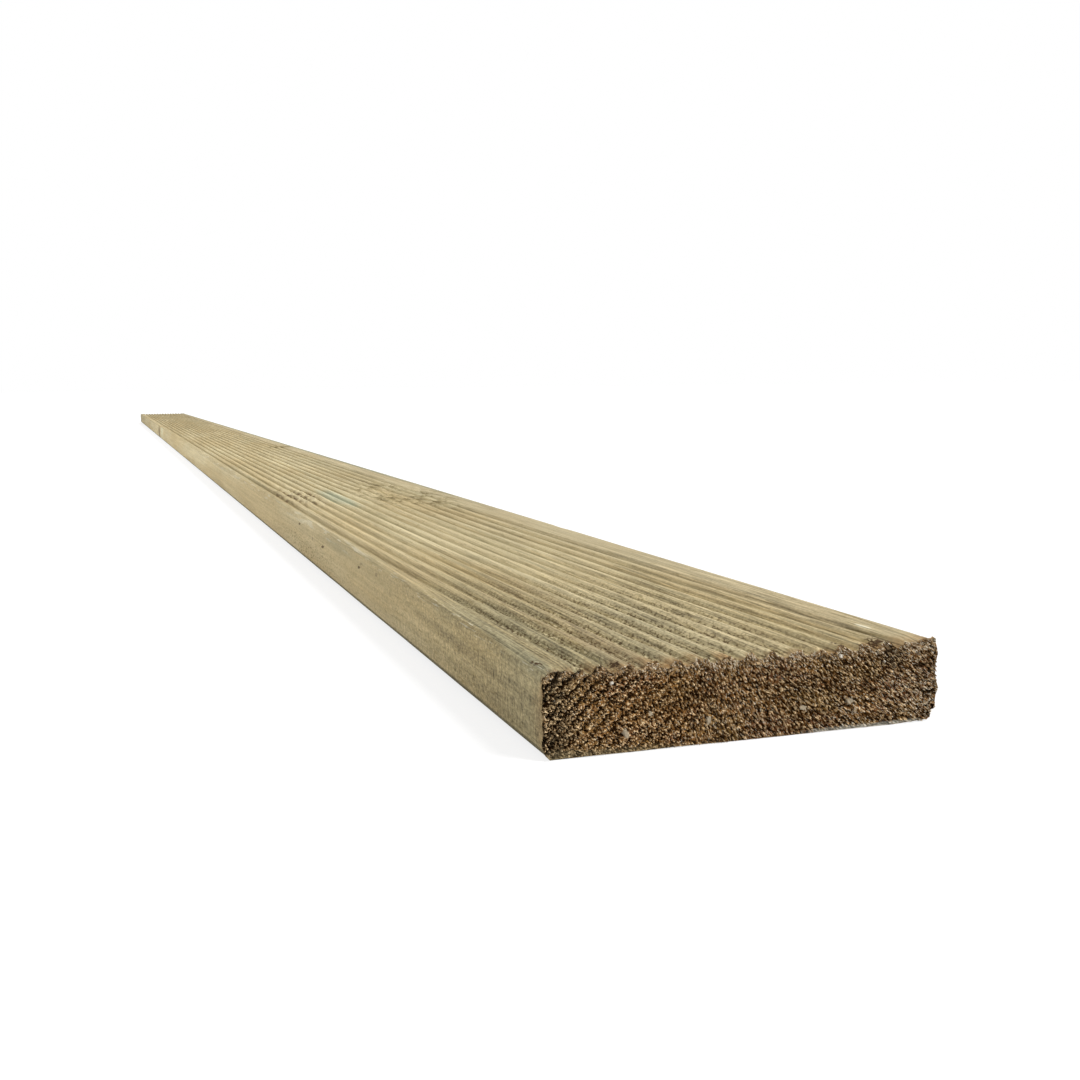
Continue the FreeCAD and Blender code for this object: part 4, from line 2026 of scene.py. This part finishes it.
@dataclass(frozen=True)
class Studio:
    """The floor, the soft light and the camera at the photograph's viewing angle."""

    near_end: float
    eye: Place = (-0.1925, -0.3651, 0.1141)
    yaw: float = 18.49
    pitch: float = -6.84
    roll: float = -0.56
    focal: float = 1299.0
    frame_pixels: float = 1080.0
    sensor: float = 36.0
    nearest: float = 0.01
    floor_size: float = 80.0
    floor_gap: float = 0.0003
    floor_glow: float = 0.80
    white: Tint = (1.0, 1.0, 1.0, 1.0)
    floor_white: Tint = (0.8, 0.8, 0.8, 1.0)
    floor_shade: Tint = (0.28, 0.28, 0.28, 1.0)
    sun_strength: float = 2.5
    sun_angle: float = 18.0
    sun_from: Place = (0.44, -0.42, 0.80)
    fill_power: float = 23.0
    fill_size: float = 1.5
    fill_place: Place = (-1.9, 0.2, 0.55)
    sky: float = 0.44

    def camera(self) -> bpy.types.Object:
        """Return the camera, set as the scene's own.

        Returns:
            The camera's object.
        """
        yaw, pitch, roll = (math.radians(a) for a in (self.yaw, self.pitch, self.roll))
        ahead = Vector(
            (math.sin(yaw) * math.cos(pitch), math.cos(yaw) * math.cos(pitch), math.sin(pitch))
        )
        level = Vector((math.cos(yaw), -math.sin(yaw), 0.0))
        above = level.cross(ahead)
        right = math.cos(roll) * level + math.sin(roll) * above
        up = math.cos(roll) * above - math.sin(roll) * level
        data = bpy.data.cameras.new("camera")
        data.sensor_width = self.sensor
        data.lens = self.focal / self.frame_pixels * self.sensor
        data.clip_start = self.nearest
        camera = bpy.data.objects.new("camera", data)
        turn = Matrix((right, up, -ahead)).transposed().to_4x4()
        x, y, z = self.eye
        camera.matrix_world = Matrix.Translation((x, self.near_end + y, z)) @ turn
        bpy.context.scene.collection.objects.link(camera)
        bpy.context.scene.camera = camera
        return camera

    def lamps(self) -> None:
        """Add a broad sun overhead, and a lamp beside the far half that fills in its side."""
        sun = bpy.data.lights.new("key", "SUN")
        sun.energy = self.sun_strength
        sun.angle = math.radians(self.sun_angle)
        key = bpy.data.objects.new("key", sun)
        key.rotation_euler = Vector(self.sun_from).to_track_quat("Z", "Y").to_euler()
        bpy.context.scene.collection.objects.link(key)

        panel = bpy.data.lights.new("fill", "AREA")
        panel.energy = self.fill_power
        panel.size = self.fill_size
        fill = bpy.data.objects.new("fill", panel)
        fill.location = self.fill_place
        away = Vector((self.fill_place[0], 0.0, self.fill_place[2]))
        fill.rotation_euler = away.to_track_quat("Z", "Y").to_euler()
        bpy.context.scene.collection.objects.link(fill)

    def sky_light(self) -> None:
        """Surround the scene with an even sky, which shows as white."""
        world = bpy.data.worlds.new("studio")
        world.use_nodes = True
        bpy.context.scene.world = world
        bench = Bench(world.node_tree)
        sky = bench.add("ShaderNodeBackground", None, {"Color": self.white, "Strength": self.sky})
        white = bench.add("ShaderNodeBackground", None, {"Color": self.white, "Strength": 1.0})
        both = bench.add("ShaderNodeMixShader", None, {0: self.shown(bench), 1: sky, 2: white})
        bench.add("ShaderNodeOutputWorld", None, {"Surface": both})

    @staticmethod
    def shown(bench: Bench) -> Link:
        """Return 1 where a ray shows the background, straight or by reflection or through glass.

        Args:
            bench: The tree that is being built.

        Returns:
            1 or 0.
        """
        path = bench.add("ShaderNodeLightPath")
        seen = path.output("Is Camera Ray").most(path.output("Is Glossy Ray"))
        return seen.most(path.output("Is Transmission Ray"))

    def floor(self) -> bpy.types.Object:
        """Return a white floor that keeps the board's soft shadow.

        Returns:
            The floor's object.
        """
        half = self.floor_size / 2
        corners = [(-half, -half), (half, -half), (half, half), (-half, half)]
        mesh = bpy.data.meshes.new("floor")
        mesh.from_pydata([(x, y, -self.floor_gap) for x, y in corners], [], [(0, 1, 2, 3)])
        material = bpy.data.materials.new("floor_white")
        material.use_nodes = True
        bench = Bench(material.node_tree)
        matt = bench.add("ShaderNodeBsdfDiffuse", None, {"Color": self.floor_white})
        faint = bench.add("ShaderNodeBsdfDiffuse", None, {"Color": self.floor_shade})
        glow = bench.add("ShaderNodeEmission", None, {"Color": self.white, "Strength": self.floor_glow})
        lifted = bench.add("ShaderNodeAddShader", None, {0: faint, 1: glow})
        surface = bench.add("ShaderNodeMixShader", None, {0: self.shown(bench), 1: matt, 2: lifted})
        bench.add("ShaderNodeOutputMaterial", None, {"Surface": surface})
        mesh.materials.append(material)
        floor = bpy.data.objects.new("floor", mesh)
        bpy.context.scene.collection.objects.link(floor)
        return floor


def hand_over(piece: bpy.types.Object) -> None:
    """Fix a finished piece to the board's body and report it.

    Args:
        piece: The piece's object.
    """
    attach(piece, BODY)
    triangles = sum(len(polygon.vertices) - 2 for polygon in piece.data.polygons)
    LOG.info("%s: %d triangles", piece.name, triangles)


def main() -> None:
    """Build the board, its fibres and the studio."""
    logging.basicConfig(level=logging.INFO, format="%(name)s: %(message)s")
    bpy.context.scene.view_settings.view_transform = "Standard"
    low, high = (Vector(corner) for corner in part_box(NODE))
    size = high - low

    rings = GrowthRings()
    grain = EndGrain(rings)
    section = Section(width=size.x, thickness=size.z)
    planed = PlanedFinish(rings, near_end=low.y).build()
    sawn = SawnFinish(rings, grain).build()
    board = Board(section, size.y, rings, grain).build(planed, sawn)
    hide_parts(NODE)
    hand_over(board)

    fibre = FibreFinish().build()
    for end in End:
        fibres = EndFibres(grain, end, FIBRE_DENSITY[end], FIBRE_SEED[end])
        hand_over(fibres.build(board, fibre))

    studio = Studio(near_end=low.y)
    studio.camera()
    studio.lamps()
    studio.sky_light()
    studio.floor()


if __name__ == "__main__":
    main()
